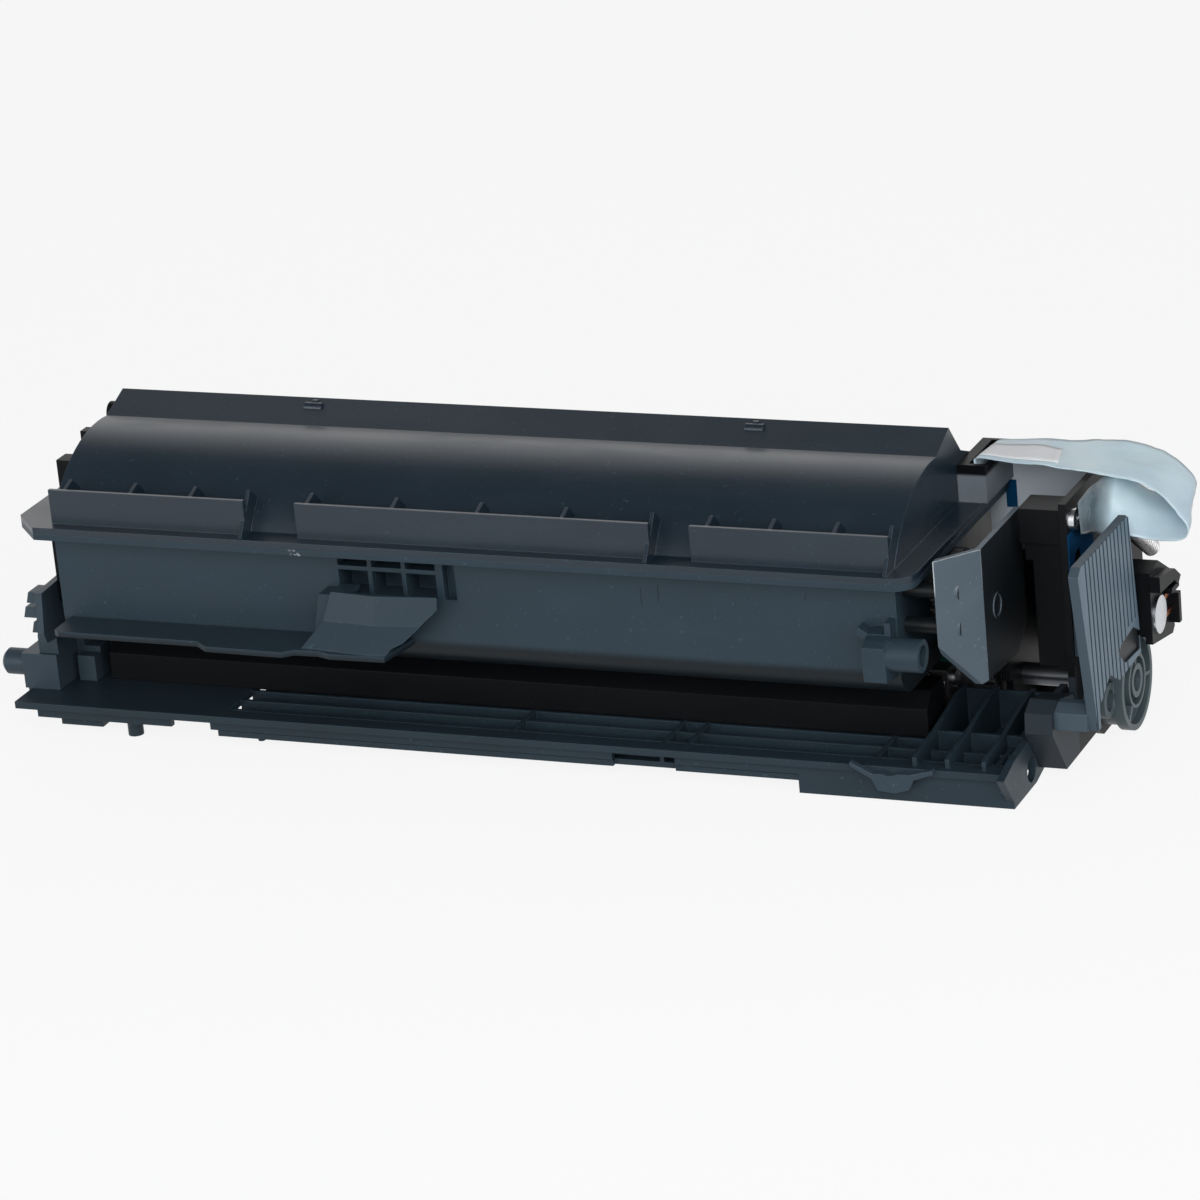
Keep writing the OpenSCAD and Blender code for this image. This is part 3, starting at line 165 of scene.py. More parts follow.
class Shader:
    """The nodes of a material or of the world under construction."""

    def __init__(self, owner, place="Object"):
        owner.use_nodes = True
        self.material = owner
        self.tree = owner.node_tree
        self.principled = self.tree.nodes.get("Principled BSDF")
        self.place = self.node("ShaderNodeTexCoord", {}, {}, place)

    @classmethod
    def new(cls, name):
        """A new material."""
        return cls(bpy.data.materials.new(name))

    def node(self, kind, settings, values, out=0):
        """Adds a node, sets it, then fills its sockets with values or links."""
        made = self.tree.nodes.new(kind)
        for key, value in settings.items():
            if key == "stops":
                ramp = made.color_ramp
                while len(ramp.elements) < len(value):
                    ramp.elements.new(0.5)
                for element, (position, level) in zip(ramp.elements, value):
                    element.position = position
                    element.color = (level, level, level, 1)
            else:
                setattr(made, key, value)
        for key, value in values.items():
            self.feed(made.inputs[key], value)
        return Socket(self, made.outputs[out])

    def feed(self, socket, value):
        """Links a socket or sets its value."""
        if isinstance(value, Socket):
            self.tree.links.new(value.output, socket)
        elif socket.type == "RGBA" and len(value) == 3:
            socket.default_value = (*value, 1)
        else:
            socket.default_value = value

    def set(self, **values):
        """Feeds the Principled node's sockets by short names."""
        names = {
            "color": "Base Color", "rough": "Roughness", "metal": "Metallic", "normal": "Normal",
            "coat": "Coat Weight", "alpha": "Alpha", "specular": "Specular IOR Level",
        }
        for key, value in values.items():
            self.feed(self.principled.inputs[names[key]], value)

    def color(self):
        """What feeds the base colour so far."""
        return Socket(self, self.principled.inputs["Base Color"].links[0].from_socket)

    def noise(self, scale, detail=2.0, rough=0.5, stretch=(1, 1, 1)):
        """Noise on the place, drawn out along an axis where stretch is small."""
        place = self.place
        if stretch != (1, 1, 1):
            place = self.node("ShaderNodeMapping", {}, {"Vector": place, "Scale": stretch})
        values = {"Vector": place, "Scale": scale, "Detail": detail, "Roughness": rough}
        return self.node("ShaderNodeTexNoise", {}, values)

    def ramp(self, value, *stops):
        """Grey levels at positions of a value."""
        return self.node("ShaderNodeValToRGB", {"stops": stops}, {"Fac": value})

    def spread(self, value, to_low, to_high, low=0.0, high=1.0):
        """A value that runs from low to high, made to run from to_low to to_high."""
        return self.node("ShaderNodeMapRange", {}, {0: value, 1: low, 2: high, 3: to_low, 4: to_high})

    def mix(self, factor, a, b):
        """Colour b over colour a."""
        return self.node("ShaderNodeMix", {"data_type": "RGBA"}, {"Factor": factor, 6: a, 7: b}, 2)

    def axis(self, name):
        """One coordinate of the place, in metres."""
        return self.node("ShaderNodeSeparateXYZ", {}, {0: self.place}, name)

    def bump(self, height, strength, distance, normal=None):
        """The normal raised by a height, over the normal given."""
        values = {"Height": height, "Strength": strength, "Distance": distance}
        if normal:
            values["Normal"] = normal
        return self.node("ShaderNodeBump", {}, values)

    def rounded(self, radius):
        """The normal with its edges rounded, and a mask of those edges."""
        soft = self.node("ShaderNodeBevel", {"samples": 4}, {"Radius": radius})
        hard = self.node("ShaderNodeNewGeometry", {}, {}, "Normal")
        values = {0: soft, 1: hard}
        same = self.node("ShaderNodeVectorMath", {"operation": "DOT_PRODUCT"}, values, "Value")
        edge = self.ramp(1 - same, (0.01, 0.0), (0.22, 1.0))
        return soft, edge

    def facing(self, name, least, sign=1):
        """1 on faces that look along an axis."""
        normal = self.node("ShaderNodeNewGeometry", {}, {}, "Normal")
        return self.node("ShaderNodeSeparateXYZ", {}, {0: normal}, name) * sign > least

    def between(self, value, low, high, soft):
        """1 between low and high, fading over soft."""
        up = self.spread(value, 0.0, 1.0, low - soft, low + soft)
        down = self.spread(value, 0.0, 1.0, high - soft, high + soft)
        return up * (1 - down)

    def any_seen_ray(self):
        """1 for the camera's rays and for what metal and clear things mirror or let through."""
        seen = self.node("ShaderNodeLightPath", {}, {}, "Is Camera Ray")
        for name in ("Is Glossy Ray", "Is Transmission Ray"):
            other = self.node("ShaderNodeLightPath", {}, {}, name)
            seen = self.node("ShaderNodeMath", {"operation": "MAXIMUM"}, {0: seen, 1: other})
        return seen


def lighter(color, factor):
    """A colour made lighter, or darker with a factor below 1."""
    return tuple(min(1.0, c * factor) for c in color)


# Materials

# The fine grain of the moulds: waves per metre and depth in metres
GRAIN_SCALE = 900
GRAIN_DEPTH = 0.00012


def moulded_plastic(
        name, color, grain, edge_radius, dust=0.4, rough=0.42, edges=1.0, marks=0.5, gloss=0.22):
    """Satin moulded plastic with fine grain, a painted highlight on its edges, dust specks and faint
    scratches.
    """
    s = Shader.new(name)
    soft, edge = s.rounded(edge_radius)
    cloud = s.noise(22, 3)
    fine = s.noise(GRAIN_SCALE, 2, 0.6)
    speck = s.ramp(s.noise(880, 1, 0.4), (0.71, 0.0), (0.78, 1.0))
    smear = s.ramp(s.noise(60, 4, 0.65, (0.3, 1, 1)), (0.52, 0.0), (0.72, 1.0))
    scratch = s.ramp(s.noise(240, 3, 0.7, (0.06, 1.0, 1.6)), (0.70, 0.0), (0.75, 1.0))
    tone = s.mix(cloud, lighter(color, 0.84), lighter(color, 1.16))
    tone = s.mix(smear * (0.22 * marks), tone, lighter(color, 1.9))
    tone = s.mix(scratch * (0.4 * marks), tone, lighter(color, 2.4))
    tone = s.mix(speck * (0.42 * dust), tone, lighter(color, 4.5))
    # painted highlight: the edges lightened, as strongly as edges says
    tone = s.mix(edge * (0.42 * edges), tone, lighter(color, 3.4))
    s.set(color=tone, rough=s.spread(cloud + 0.4 * smear, rough - 0.07, rough + 0.12, 0.2, 1.1))
    s.set(normal=s.bump(fine, grain, GRAIN_DEPTH, soft), specular=gloss)
    return s.material


# Places on the hopper, in metres. Each fine upright cut in the front wall has its left side, its bottom,
# its top and how softly it ends
NICK_WIDTH = 0.0003
NICKS = (
    (0.0338, 0.0505, 0.0555, 0.0004),
    (0.0387, 0.0518, 0.0565, 0.0004),
    (0.0800, 0.0545, 0.0565, 0.0003),
)
FRONT_WALL_Y = -0.0398
FLANGE_LIP_Y = -0.0455
FLANGE_Z = 0.0600
CHIP_X = (-0.0650, -0.0612)
SHADE_BELOW_Z = 0.0360
FAR = 0.2


def hopper_plastic(name, color, grain, edge_radius):
    """The hopper's plastic: its nicks, a chip on the flange's lip, and painted shade on its underside."""
    s = Shader(moulded_plastic(name, color, grain, edge_radius, dust=0.5))
    x = s.axis("X")
    y = s.axis("Y")
    z = s.axis("Z")
    nick = 0.0
    for left, bottom, top, soft in NICKS:
        cut = s.between(x, left, left + NICK_WIDTH, 0.0001) * s.between(z, bottom, top, soft)
        nick = nick + cut
    chip = s.ramp(s.noise(700, 2, 0.7), (0.5, 0.0), (0.6, 1.0))
    chip = chip * s.between(x, *CHIP_X, 0.0005) * (y < FLANGE_LIP_Y) * (z > FLANGE_Z)
    tone = s.mix((y < FRONT_WALL_Y) * nick * 0.8, s.color(), lighter(color, 0.15))
    tone = s.mix(chip * 0.7, tone, (0.46, 0.50, 0.52))
    # painted shade: the plastic is darker below this height, on its underside
    painted_shade_below = 1 - s.between(z, SHADE_BELOW_Z, FAR, 0.0010)
    s.set(color=s.mix(painted_shade_below * 0.85, tone, lighter(color, 0.10)))
    return s.material


def acetal(name, color, edge_radius):
    """Smooth black gear plastic, with grease in places."""
    s = Shader.new(name)
    soft, edge = s.rounded(edge_radius)
    cloud = s.noise(90, 3)
    tone = s.mix(cloud, lighter(color, 0.8), lighter(color, 1.2))
    # painted highlight: the edges lightened
    tone = s.mix(edge * 0.3, tone, lighter(color, 3.0))
    s.set(color=tone, rough=s.spread(cloud, 0.32, 0.5))
    s.set(normal=s.bump(s.noise(700), 0.08, 0.0001, soft))
    return s.material


def bright_metal(name, color, rough=0.28, turned=(1, 1, 1)):
    """Bright metal with fine drawing or turning lines."""
    s = Shader.new(name)
    lines = s.noise(900, 2, 0.6, turned)
    cloud = s.noise(120, 3)
    tone = s.mix(cloud, lighter(color, 0.82), lighter(color, 1.08))
    s.set(color=tone, metal=1.0, rough=s.spread(lines, rough - 0.08, rough + 0.14))
    s.set(normal=s.bump(lines, 0.08, 0.00006))
    return s.material


def spring_wire(name, color):
    """Drawn spring wire, a little dull in places."""
    s = Shader.new(name)
    cloud = s.noise(300, 2)
    s.set(color=s.mix(cloud, lighter(color, 0.7), lighter(color, 1.1)), metal=1.0)
    s.set(rough=s.spread(cloud, 0.22, 0.36))
    return s.material


def coated_tube(name, color):
    """The drum's even glossy coating."""
    s = Shader.new(name)
    cloud = s.noise(14, 2)
    s.set(color=s.mix(cloud, lighter(color, 0.92), lighter(color, 1.06)), rough=0.16, coat=0.6)
    s.set(normal=s.bump(s.noise(500), 0.02, 0.00005))
    return s.material


def fine_rubber(name, color):
    """Matt rubber or felt with a fine tooth."""
    s = Shader.new(name)
    fine = s.noise(1400, 3, 0.7)
    s.set(color=s.mix(fine, lighter(color, 0.8), lighter(color, 1.3)), rough=0.72)
    s.set(normal=s.bump(fine, 0.25, 0.0001))
    return s.material


# Where the film lies on the right end plate, in metres
PLATE_FILM_X = (0.1415, 0.1450)
PLATE_FILM_Z = 0.0732


def seal_film_plastic(name, color):
    """Clouded film: pale, with soft creases and smoky patches, and grey where it lies on the plate."""
    s = Shader.new(name)
    cloud = s.noise(70, 4, 0.55, (0.5, 1, 1))
    smoke = s.ramp(s.noise(38, 3, 0.6), (0.42, 0.0), (0.68, 1.0))
    crease = s.noise(95, 3, 0.6, (0.4, 1, 1.4))
    speck = s.ramp(s.noise(420, 4, 0.8), (0.66, 0.0), (0.74, 1.0))
    tone = s.mix(cloud, lighter(color, 0.86), lighter(color, 1.18))
    tone = s.mix(smoke * 0.4, tone, (color[0] * 0.52, color[1] * 0.62, color[2] * 0.74))
    tone = s.mix(speck * 0.35, tone, (0.12, 0.14, 0.17))
    x = s.axis("X")
    z = s.axis("Z")
    grey = s.ramp(s.noise(160, 4, 0.7), (0.35, 0.0), (0.75, 1.0))
    near_plate = (x > PLATE_FILM_X[0]) * (z < PLATE_FILM_Z)
    on_plate = (1 - s.between(x, PLATE_FILM_X[1], FAR, 0.0012)) * near_plate
    tone = s.mix(on_plate * (0.86 + 0.12 * grey), tone, linear(58, 72, 82))
    s.set(color=tone, rough=s.spread(cloud, 0.2, 0.42), alpha=0.9)
    s.set(normal=s.bump(crease, 0.35, 0.0009), specular=0.6)
    return s.material


def soft_foam(name, color):
    """Blue sealing foam, matt and open."""
    s = Shader.new(name)
    pores = s.noise(900, 3, 0.7)
    cloud = s.noise(90, 3)
    s.set(color=s.mix(cloud * 0.6 + pores * 0.4, lighter(color, 0.6), lighter(color, 1.5)))
    s.set(rough=0.9, specular=0.05, normal=s.bump(pores, 0.4, 0.0002))
    return s.material


# The height of the film guide that is painted pale grey as painted light, in metres
GUIDE_GREY_Z = (0.06, 0.0722)


def guide_plastic(name, color, grain, edge_radius):
    """The film guide: black round its slot, painted pale grey below as painted light."""
    s = Shader(moulded_plastic(name, color, grain, edge_radius, dust=0.3, edges=0.7, gloss=0.1))
    grey = s.mix(s.noise(60, 3), linear(104, 112, 120), linear(122, 130, 138))
    # painted light: the lower part pale grey, like the lit wall behind it
    s.set(color=s.mix(s.between(s.axis("Z"), *GUIDE_GREY_Z, 0.0004), s.color(), grey))
    return s.material


def paper_label(name, color):
    """Smooth paper or thick plastic sheet with a faint fibre."""
    s = Shader.new(name)
    fibre = s.noise(600, 3, 0.6)
    s.set(color=s.mix(fibre, lighter(color, 0.93), color), rough=0.55)
    s.set(normal=s.bump(fibre, 0.1, 0.00005))
    return s.material


# The grip's grooves and the field without them, measured from its outer face and in y and z, in metres
GROOVE_DEPTH = (0.0003, 0.0006)
FIELD_DEPTH = 0.0009
FIELD_Y = -0.0049
FIELD_Z = 0.0335


def grip_plastic(name, color, grain, edge_radius, face_x):
    """The grip plate: painted shade on all but its outer face, pale streaks on that face, darker groove
    floors, a dark field low at the back.
    """
    s = Shader.new(name)
    soft, edge = s.rounded(edge_radius)
    cloud = s.noise(30, 3)
    fine = s.noise(GRAIN_SCALE, 2, 0.6)
    streak = s.ramp(s.noise(420, 3, 0.65, (1, 1, 0.1)), (0.45, 0.0), (0.75, 1.0))
    x = s.axis("X")
    y = s.axis("Y")
    z = s.axis("Z")
    groove_top = face_x - GROOVE_DEPTH[0]
    face = (x > groove_top) * s.facing("X", 0.7)
    # painted shade: every face but the outer one darker than the plastic's colour
    tone = s.mix(cloud, lighter(color, 0.40), lighter(color, 0.52))
    tone = s.mix(face, tone, s.mix(cloud, lighter(color, 0.85), lighter(color, 1.15)))
    tone = s.mix(streak * face * 0.4, tone, lighter(color, 1.9))
    groove = s.facing("X", 0.3) * (x < groove_top) * (x > face_x - GROOVE_DEPTH[1])
    # the groove floors darker
    tone = s.mix(groove, tone, lighter(color, 0.25))
    field = (x > face_x - FIELD_DEPTH) * (y > FIELD_Y) * (z < FIELD_Z) * (x < groove_top)
    tone = s.mix(field, tone, lighter(color, 0.06))
    # painted highlight: the edges lightened
    tone = s.mix(edge * (1 - field) * 0.35, tone, lighter(color, 1.6))
    s.set(color=tone, rough=0.46, normal=s.bump(fine, grain, GRAIN_DEPTH, soft), specular=0.25)
    return s.material


# The gear cover's painted highlight on its top edge, and where its posts end, in metres
TOP_HIGHLIGHT_RADIUS = 0.0005
TOP_HIGHLIGHT_Z = (0.0585, 0.07)
POSTS_X = 0.1153


def cover_plastic(name, color, grain, edge_radius):
    """The gear cover: a painted highlight on its top edge, and painted shade on its right side and its
    posts.
    """
    s = Shader(moulded_plastic(name, color, grain, edge_radius, edges=0.35))
    soft, edge = s.rounded(TOP_HIGHLIGHT_RADIUS)
    # painted shade: the right side darker
    tone = s.mix(s.facing("X", 0.93), s.color(), lighter(color, 0.14))
    # painted shade: the posts between the hopper and the cover darker
    tone = s.mix(s.axis("X") < POSTS_X, tone, lighter(color, 0.08))
    # painted highlight: a white line along the front face's top edge
    top_edge_highlight = edge * s.facing("Y", 0.4, -1) * s.between(s.axis("Z"), *TOP_HIGHLIGHT_Z, 0.0015)
    s.set(color=s.mix(top_edge_highlight, tone, (0.8, 0.84, 0.86)))
    return s.material


# The corner past which the end frame's wall is painted pale as painted light, and its foot, in metres
LIT_WALL_CORNER = (0.1385, 0.033, 0.0468)
FOOT_Y = -0.0068
FOOT_Z = 0.0245


def end_plate_plastic(name, color, grain, edge_radius):
    """The right end frame: black, with a grey wall behind the gears painted paler as painted light, and a
    grey foot.
    """
    s = Shader.new(name)
    soft, edge = s.rounded(edge_radius)
    cloud = s.noise(26, 3)
    fine = s.noise(GRAIN_SCALE, 2, 0.6)
    x = s.axis("X")
    y = s.axis("Y")
    z = s.axis("Z")
    tone = s.mix(cloud, lighter(color, 0.85), lighter(color, 1.15))
    # painted light: the grey wall behind the gears is painted paler than its own grey, as if lit
    wall = (x < LIT_WALL_CORNER[0]) * (y > LIT_WALL_CORNER[1]) * (z > LIT_WALL_CORNER[2])
    tone = s.mix(wall, tone, s.mix(cloud, linear(202, 212, 222), linear(218, 226, 235)))
    foot = (z < FOOT_Z) * (y < FOOT_Y)
    tone = s.mix(foot, tone, linear(44, 52, 59))
    # painted highlight: the edges lightened
    tone = s.mix(edge * 0.4, tone, lighter(color, 4.5))
    s.set(color=tone, rough=0.45, normal=s.bump(fine, grain, GRAIN_DEPTH, soft), specular=0.1)
    return s.material


# Mesh helpers

def new_piece(name, bm, material, smooth=True):
    """Turns a bmesh, drawn in millimetres, into a piece that rides on the cartridge's body."""
    bmesh.ops.remove_doubles(bm, verts=bm.verts, dist=0.0005)
    bmesh.ops.recalc_face_normals(bm, faces=bm.faces)
    bmesh.ops.scale(bm, vec=(MM, MM, MM), verts=bm.verts)
    mesh = bpy.data.meshes.new(name)
    bm.to_mesh(mesh)
    bm.free()
    for polygon in mesh.polygons:
        polygon.use_smooth = smooth
    piece = bpy.data.objects.new(name, mesh)
    bpy.context.scene.collection.objects.link(piece)
    mesh.materials.append(material)
    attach(piece, BODY)
    return piece


def thicken(piece, thickness):
    """Gives a sheet its thickness, half to each side."""
    wall = piece.modifiers.new("thickness", "SOLIDIFY")
    wall.thickness = thickness
    wall.offset = 0


def turned_place(place, along):
    """A matrix that puts a shape at a place with its own Z along a direction."""
    turn = Vector((0, 0, 1)).rotation_difference(along)
    return Matrix.Translation(place) @ turn.to_matrix().to_4x4()


def box_mesh(low, high):
    """A block between two corners."""
    bm = bmesh.new()
    size = [b - a for a, b in zip(low, high)]
    middle = [(a + b) / 2 for a, b in zip(low, high)]
    bmesh.ops.create_cube(bm, size=1)
    bmesh.ops.scale(bm, vec=size, verts=bm.verts)
    bmesh.ops.translate(bm, vec=middle, verts=bm.verts)
    return bm


def wire_along(bm, points, radius, sides):
    """A round wire through the points: a circle extruded from point to point and closed at its ends."""
    points = [Vector(p) for p in points]
    aheads = []
    for i in range(len(points)):
        aheads.append((points[min(i + 1, len(points) - 1)] - points[max(i - 1, 0)]).normalized())
    place = turned_place(points[0], aheads[0])
    made = bmesh.ops.create_circle(bm, cap_ends=True, segments=sides, radius=radius, matrix=place)
    ring = made["verts"]
    edges = list({e for v in ring for e in v.link_edges})
    for i in range(1, len(points)):
        made = bmesh.ops.extrude_edge_only(bm, edges=edges)["geom"]
        ring = [g for g in made if isinstance(g, bmesh.types.BMVert)]
        edges = [g for g in made if isinstance(g, bmesh.types.BMEdge)]
        bend = aheads[i - 1].rotation_difference(aheads[i]).to_matrix()
        bmesh.ops.rotate(bm, cent=points[i - 1], matrix=bend, verts=ring)
        bmesh.ops.translate(bm, vec=points[i] - points[i - 1], verts=ring)
    bmesh.ops.contextual_create(bm, geom=edges)


def coil_points(start, end, radius, turns, per_turn=20):
    """Points of a coil between two points."""
    start = Vector(start)
    end = Vector(end)
    along = end - start
    length = along.length
    along.normalize()
    side = along.orthogonal().normalized()
    other = along.cross(side)
    steps = turns * per_turn
    points = []
    for i in range(steps + 1):
        t = i / steps
        a = 2 * math.pi * turns * t
        out = math.cos(a) * side + math.sin(a) * other
        points.append(start + along * (length * t) + radius * out)
    return points


# The film's near and far edge at stations along it, in millimetres: over the slot, up the guide,
# out over the right end, round and back
FILM_EDGES = [
    ((-132, 14, 63.05), (-132, 32, 63.05)),
    ((106, 14, 63.05), (106, 32, 63.05)),
    ((108.8, 14, 63.5), (108.8, 32, 63.5)),
    ((109.2, 14, 66), (109.2, 32, 66)),
    ((109.2, 14.1, 74), (109.2, 32, 73.4)),
    ((110, 14.3, 76.3), (110.6, 32, 75.3)),
    ((116.4, 14.5, 75.8), (116, 32, 75.7)),
    ((130.1, 14.5, 74.6), (127.3, 32, 76.2)),
    ((143.2, 14.5, 73.6), (138, 32, 76.7)),
    ((151.1, 14.5, 72.3), (146.8, 32, 76.8)),
    ((159.8, 14.5, 68.5), (156.2, 32, 74.7)),
    ((165.4, 14.5, 61.9), (162.8, 32, 69.4)),
    ((166.7, 14.4, 59.0), (164.3, 32, 66.4)),
    ((166.2, 14.0, 57.3), (163.8, 31.8, 64.2)),
    ((163.4, 13.7, 56.4), (160.5, 30.8, 62.6)),
    ((158, 13.6, 56.3), (153.6, 28.6, 64.6)),
    ((151, 13.2, 57.0), (148, 24, 69.4)),
    ((146, 11.5, 57.9), (144.4, 18.5, 71.8)),
    ((143.6, 6, 60.0), (143.4, 8.4, 72.4)),
    ((143.6, -4.5, 63.6), (143.6, -5.2, 72.4)),
]
# The first stations are joined by straight lines, the rest by a curve
STRAIGHT_STATIONS = 4
LINES_PER_STATION = 7
# The label: its lines along the film, its share across it, its height over it in millimetres and its
# thickness in metres
LABEL_LINES = range(34, 51)
LABEL_ACROSS = (0.14, 0.72)
LABEL_LIFT = 0.22
LABEL_THICKNESS = 0.0001
# The film waves freely past this place, in millimetres
FREE_FROM_X = 113
FREE_WITHIN = 14


def spline(a, b, c, d, t):
    """A point between b and c of the smooth curve through four points."""
    square = 2 * a - 5 * b + 4 * c - d
    cube = 3 * b - a - 3 * c + d
    return 0.5 * (2 * b + (c - a) * t + square * t * t + cube * t ** 3)


def film_lines(steps=LINES_PER_STATION):
    """Lines across the film from its near to its far edge."""
    edges = [(Vector(near), Vector(far)) for near, far in FILM_EDGES]
    lines = []
    last = len(edges) - 1
    for i in range(last):
        around = [edges[max(i - 1, 0)], edges[i], edges[i + 1], edges[min(i + 2, last)]]
        for k in range(steps):
            t = k / steps
            if i < STRAIGHT_STATIONS:
                lines.append(tuple(edges[i][s].lerp(edges[i + 1][s], t) for s in (0, 1)))
            else:
                lines.append(tuple(spline(*(e[s] for e in around), t) for s in (0, 1)))
    lines.append(edges[-1])
    return lines


def film_point(lines, i, across, wave, lift=0.0):
    """A point of the film between its edges, raised by its soft waves."""
    near, far = lines[i]
    before = lines[max(i - 1, 0)]
    after = lines[min(i + 1, len(lines) - 1)]
    ahead = after[0].lerp(after[1], across) - before[0].lerp(before[1], across)
    up = ahead.cross(far - near).normalized()
    q = near.lerp(far, across)
    free = min(1.0, max(0.0, (q.x - FREE_FROM_X) / FREE_WITHIN))
    height = noise.noise(q * 0.10) * 1.5 + noise.noise(q * 0.34) * 0.45
    return q + up * (height * wave * free + lift)


def film_ribbon(settings, rows=None, across=(0.0, 1.0), columns=12, lift=0.0):
    """The film, or a label lying on part of it: a grid whose corners are laid on the film's lines."""
    lines = film_lines()
    rows = rows or range(len(lines))
    bm = bmesh.new()
    bmesh.ops.create_grid(bm, x_segments=len(rows) - 1, y_segments=columns, size=0.5)
    for corner in bm.verts:
        i = rows[round((corner.co.x + 0.5) * (len(rows) - 1))]
        s = across[0] + (across[1] - across[0]) * (corner.co.y + 0.5)
        corner.co = film_point(lines, i, s, settings.crumple / MM, lift)
    return bm


# Operators

class FilmOperator(bpy.types.Operator):
    """Builds the pulled-out seal film and its bare label"""

    bl_idname = "cartridge.seal_film"
    bl_label = "Seal film"

    def execute(self, context):
        settings = context.scene.cartridge_film
        plastic = seal_film_plastic("clouded_film", settings.color)
        film = new_piece("seal_film_strip", film_ribbon(settings), plastic)
        thicken(film, settings.thickness)
        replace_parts(film, "seal_film")
        ribbon = film_ribbon(settings, LABEL_LINES, LABEL_ACROSS, 6, LABEL_LIFT)
        label = new_piece("film_label", ribbon, paper_label("bare_label", settings.label_color))
        thicken(label, LABEL_THICKNESS)
        return {"FINISHED"}


# Foam and felt, in millimetres: the plate foam's outline in y and z, its hole, the wall's tab and the strip
PLATE_FOAM = ((-6.9, 49), (13.5, 49), (13.5, 65.2), (0.4, 65.2), (0.4, 64), (-6.9, 64))
PLATE_FOAM_GAP = 0.06
FOAM_HOLE = (0.3, 54.6)
FOAM_HOLE_RADIUS = 3.25
WALL_FOAM = Vector((112.2, 33.9, 59.6))
WALL_FOAM_HALF = (1.5, 1, 3.9)
FELT_BEHIND_PLATE = (23, 2)
FELT_YZ = ((28, 3), (44, 5))


class FoamOperator(bpy.types.Operator):
    """Cuts the blue foam on the right end plate and the wall, and the felt strip under the drum's end"""

    bl_idname = "cartridge.foam"
    bl_label = "Blue foam"

    def execute(self, context):
        foam = soft_foam("blue_foam", context.scene.cartridge_film.foam_color)
        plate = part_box("right_end_frame")[1].x / MM
        self.plate_foam(foam, plate + PLATE_FOAM_GAP)
        self.felt_strip(plate)
        self.wall_foam(foam)
        return {"FINISHED"}

    def plate_foam(self, foam, x):
        """The foam on the outside of the right end plate."""
        bm = bmesh.new()
        corners = [bm.verts.new((x, y, z)) for y, z in PLATE_FOAM]
        for a, b in zip(corners, corners[1:] + corners[:1]):
            bm.edges.new((a, b))
        hole = Matrix.Translation((x, *FOAM_HOLE)) @ Matrix.Rotation(math.pi / 2, 4, "Y")
        bmesh.ops.create_circle(bm, cap_ends=False, segments=28, radius=FOAM_HOLE_RADIUS, matrix=hole)
        bmesh.ops.triangle_fill(
            bm, edges=bm.edges, use_beauty=True, use_dissolve=False, normal=(1, 0, 0))
        thicken(new_piece("plate_foam", bm, foam, smooth=False), 0.0005)

    def felt_strip(self, plate):
        """The dark strip that closes the gap under the drum's right end."""
        low = (plate - FELT_BEHIND_PLATE[0], *FELT_YZ[0])
        high = (plate - FELT_BEHIND_PLATE[1], *FELT_YZ[1])
        felt = fine_rubber("dark_felt", linear(14, 15, 17))
        strip = new_piece("felt_strip", box_mesh(low, high), felt, smooth=False)
        rounding = strip.modifiers.new("edges", "BEVEL")
        rounding.width = 0.0004
        rounding.segments = 2

    def wall_foam(self, foam):
        """The tab of foam on the wall behind the gears."""
        bm = bmesh.new()
        place = Matrix.Translation(WALL_FOAM) @ Matrix.Rotation(math.pi / 2, 4, "X")
        bmesh.ops.create_grid(bm, x_segments=1, y_segments=1, size=1, matrix=place)
        bmesh.ops.scale(
            bm, vec=WALL_FOAM_HALF, space=Matrix.Translation(-WALL_FOAM), verts=bm.verts)
        thicken(new_piece("wall_foam", bm, foam, smooth=False), 0.0003)


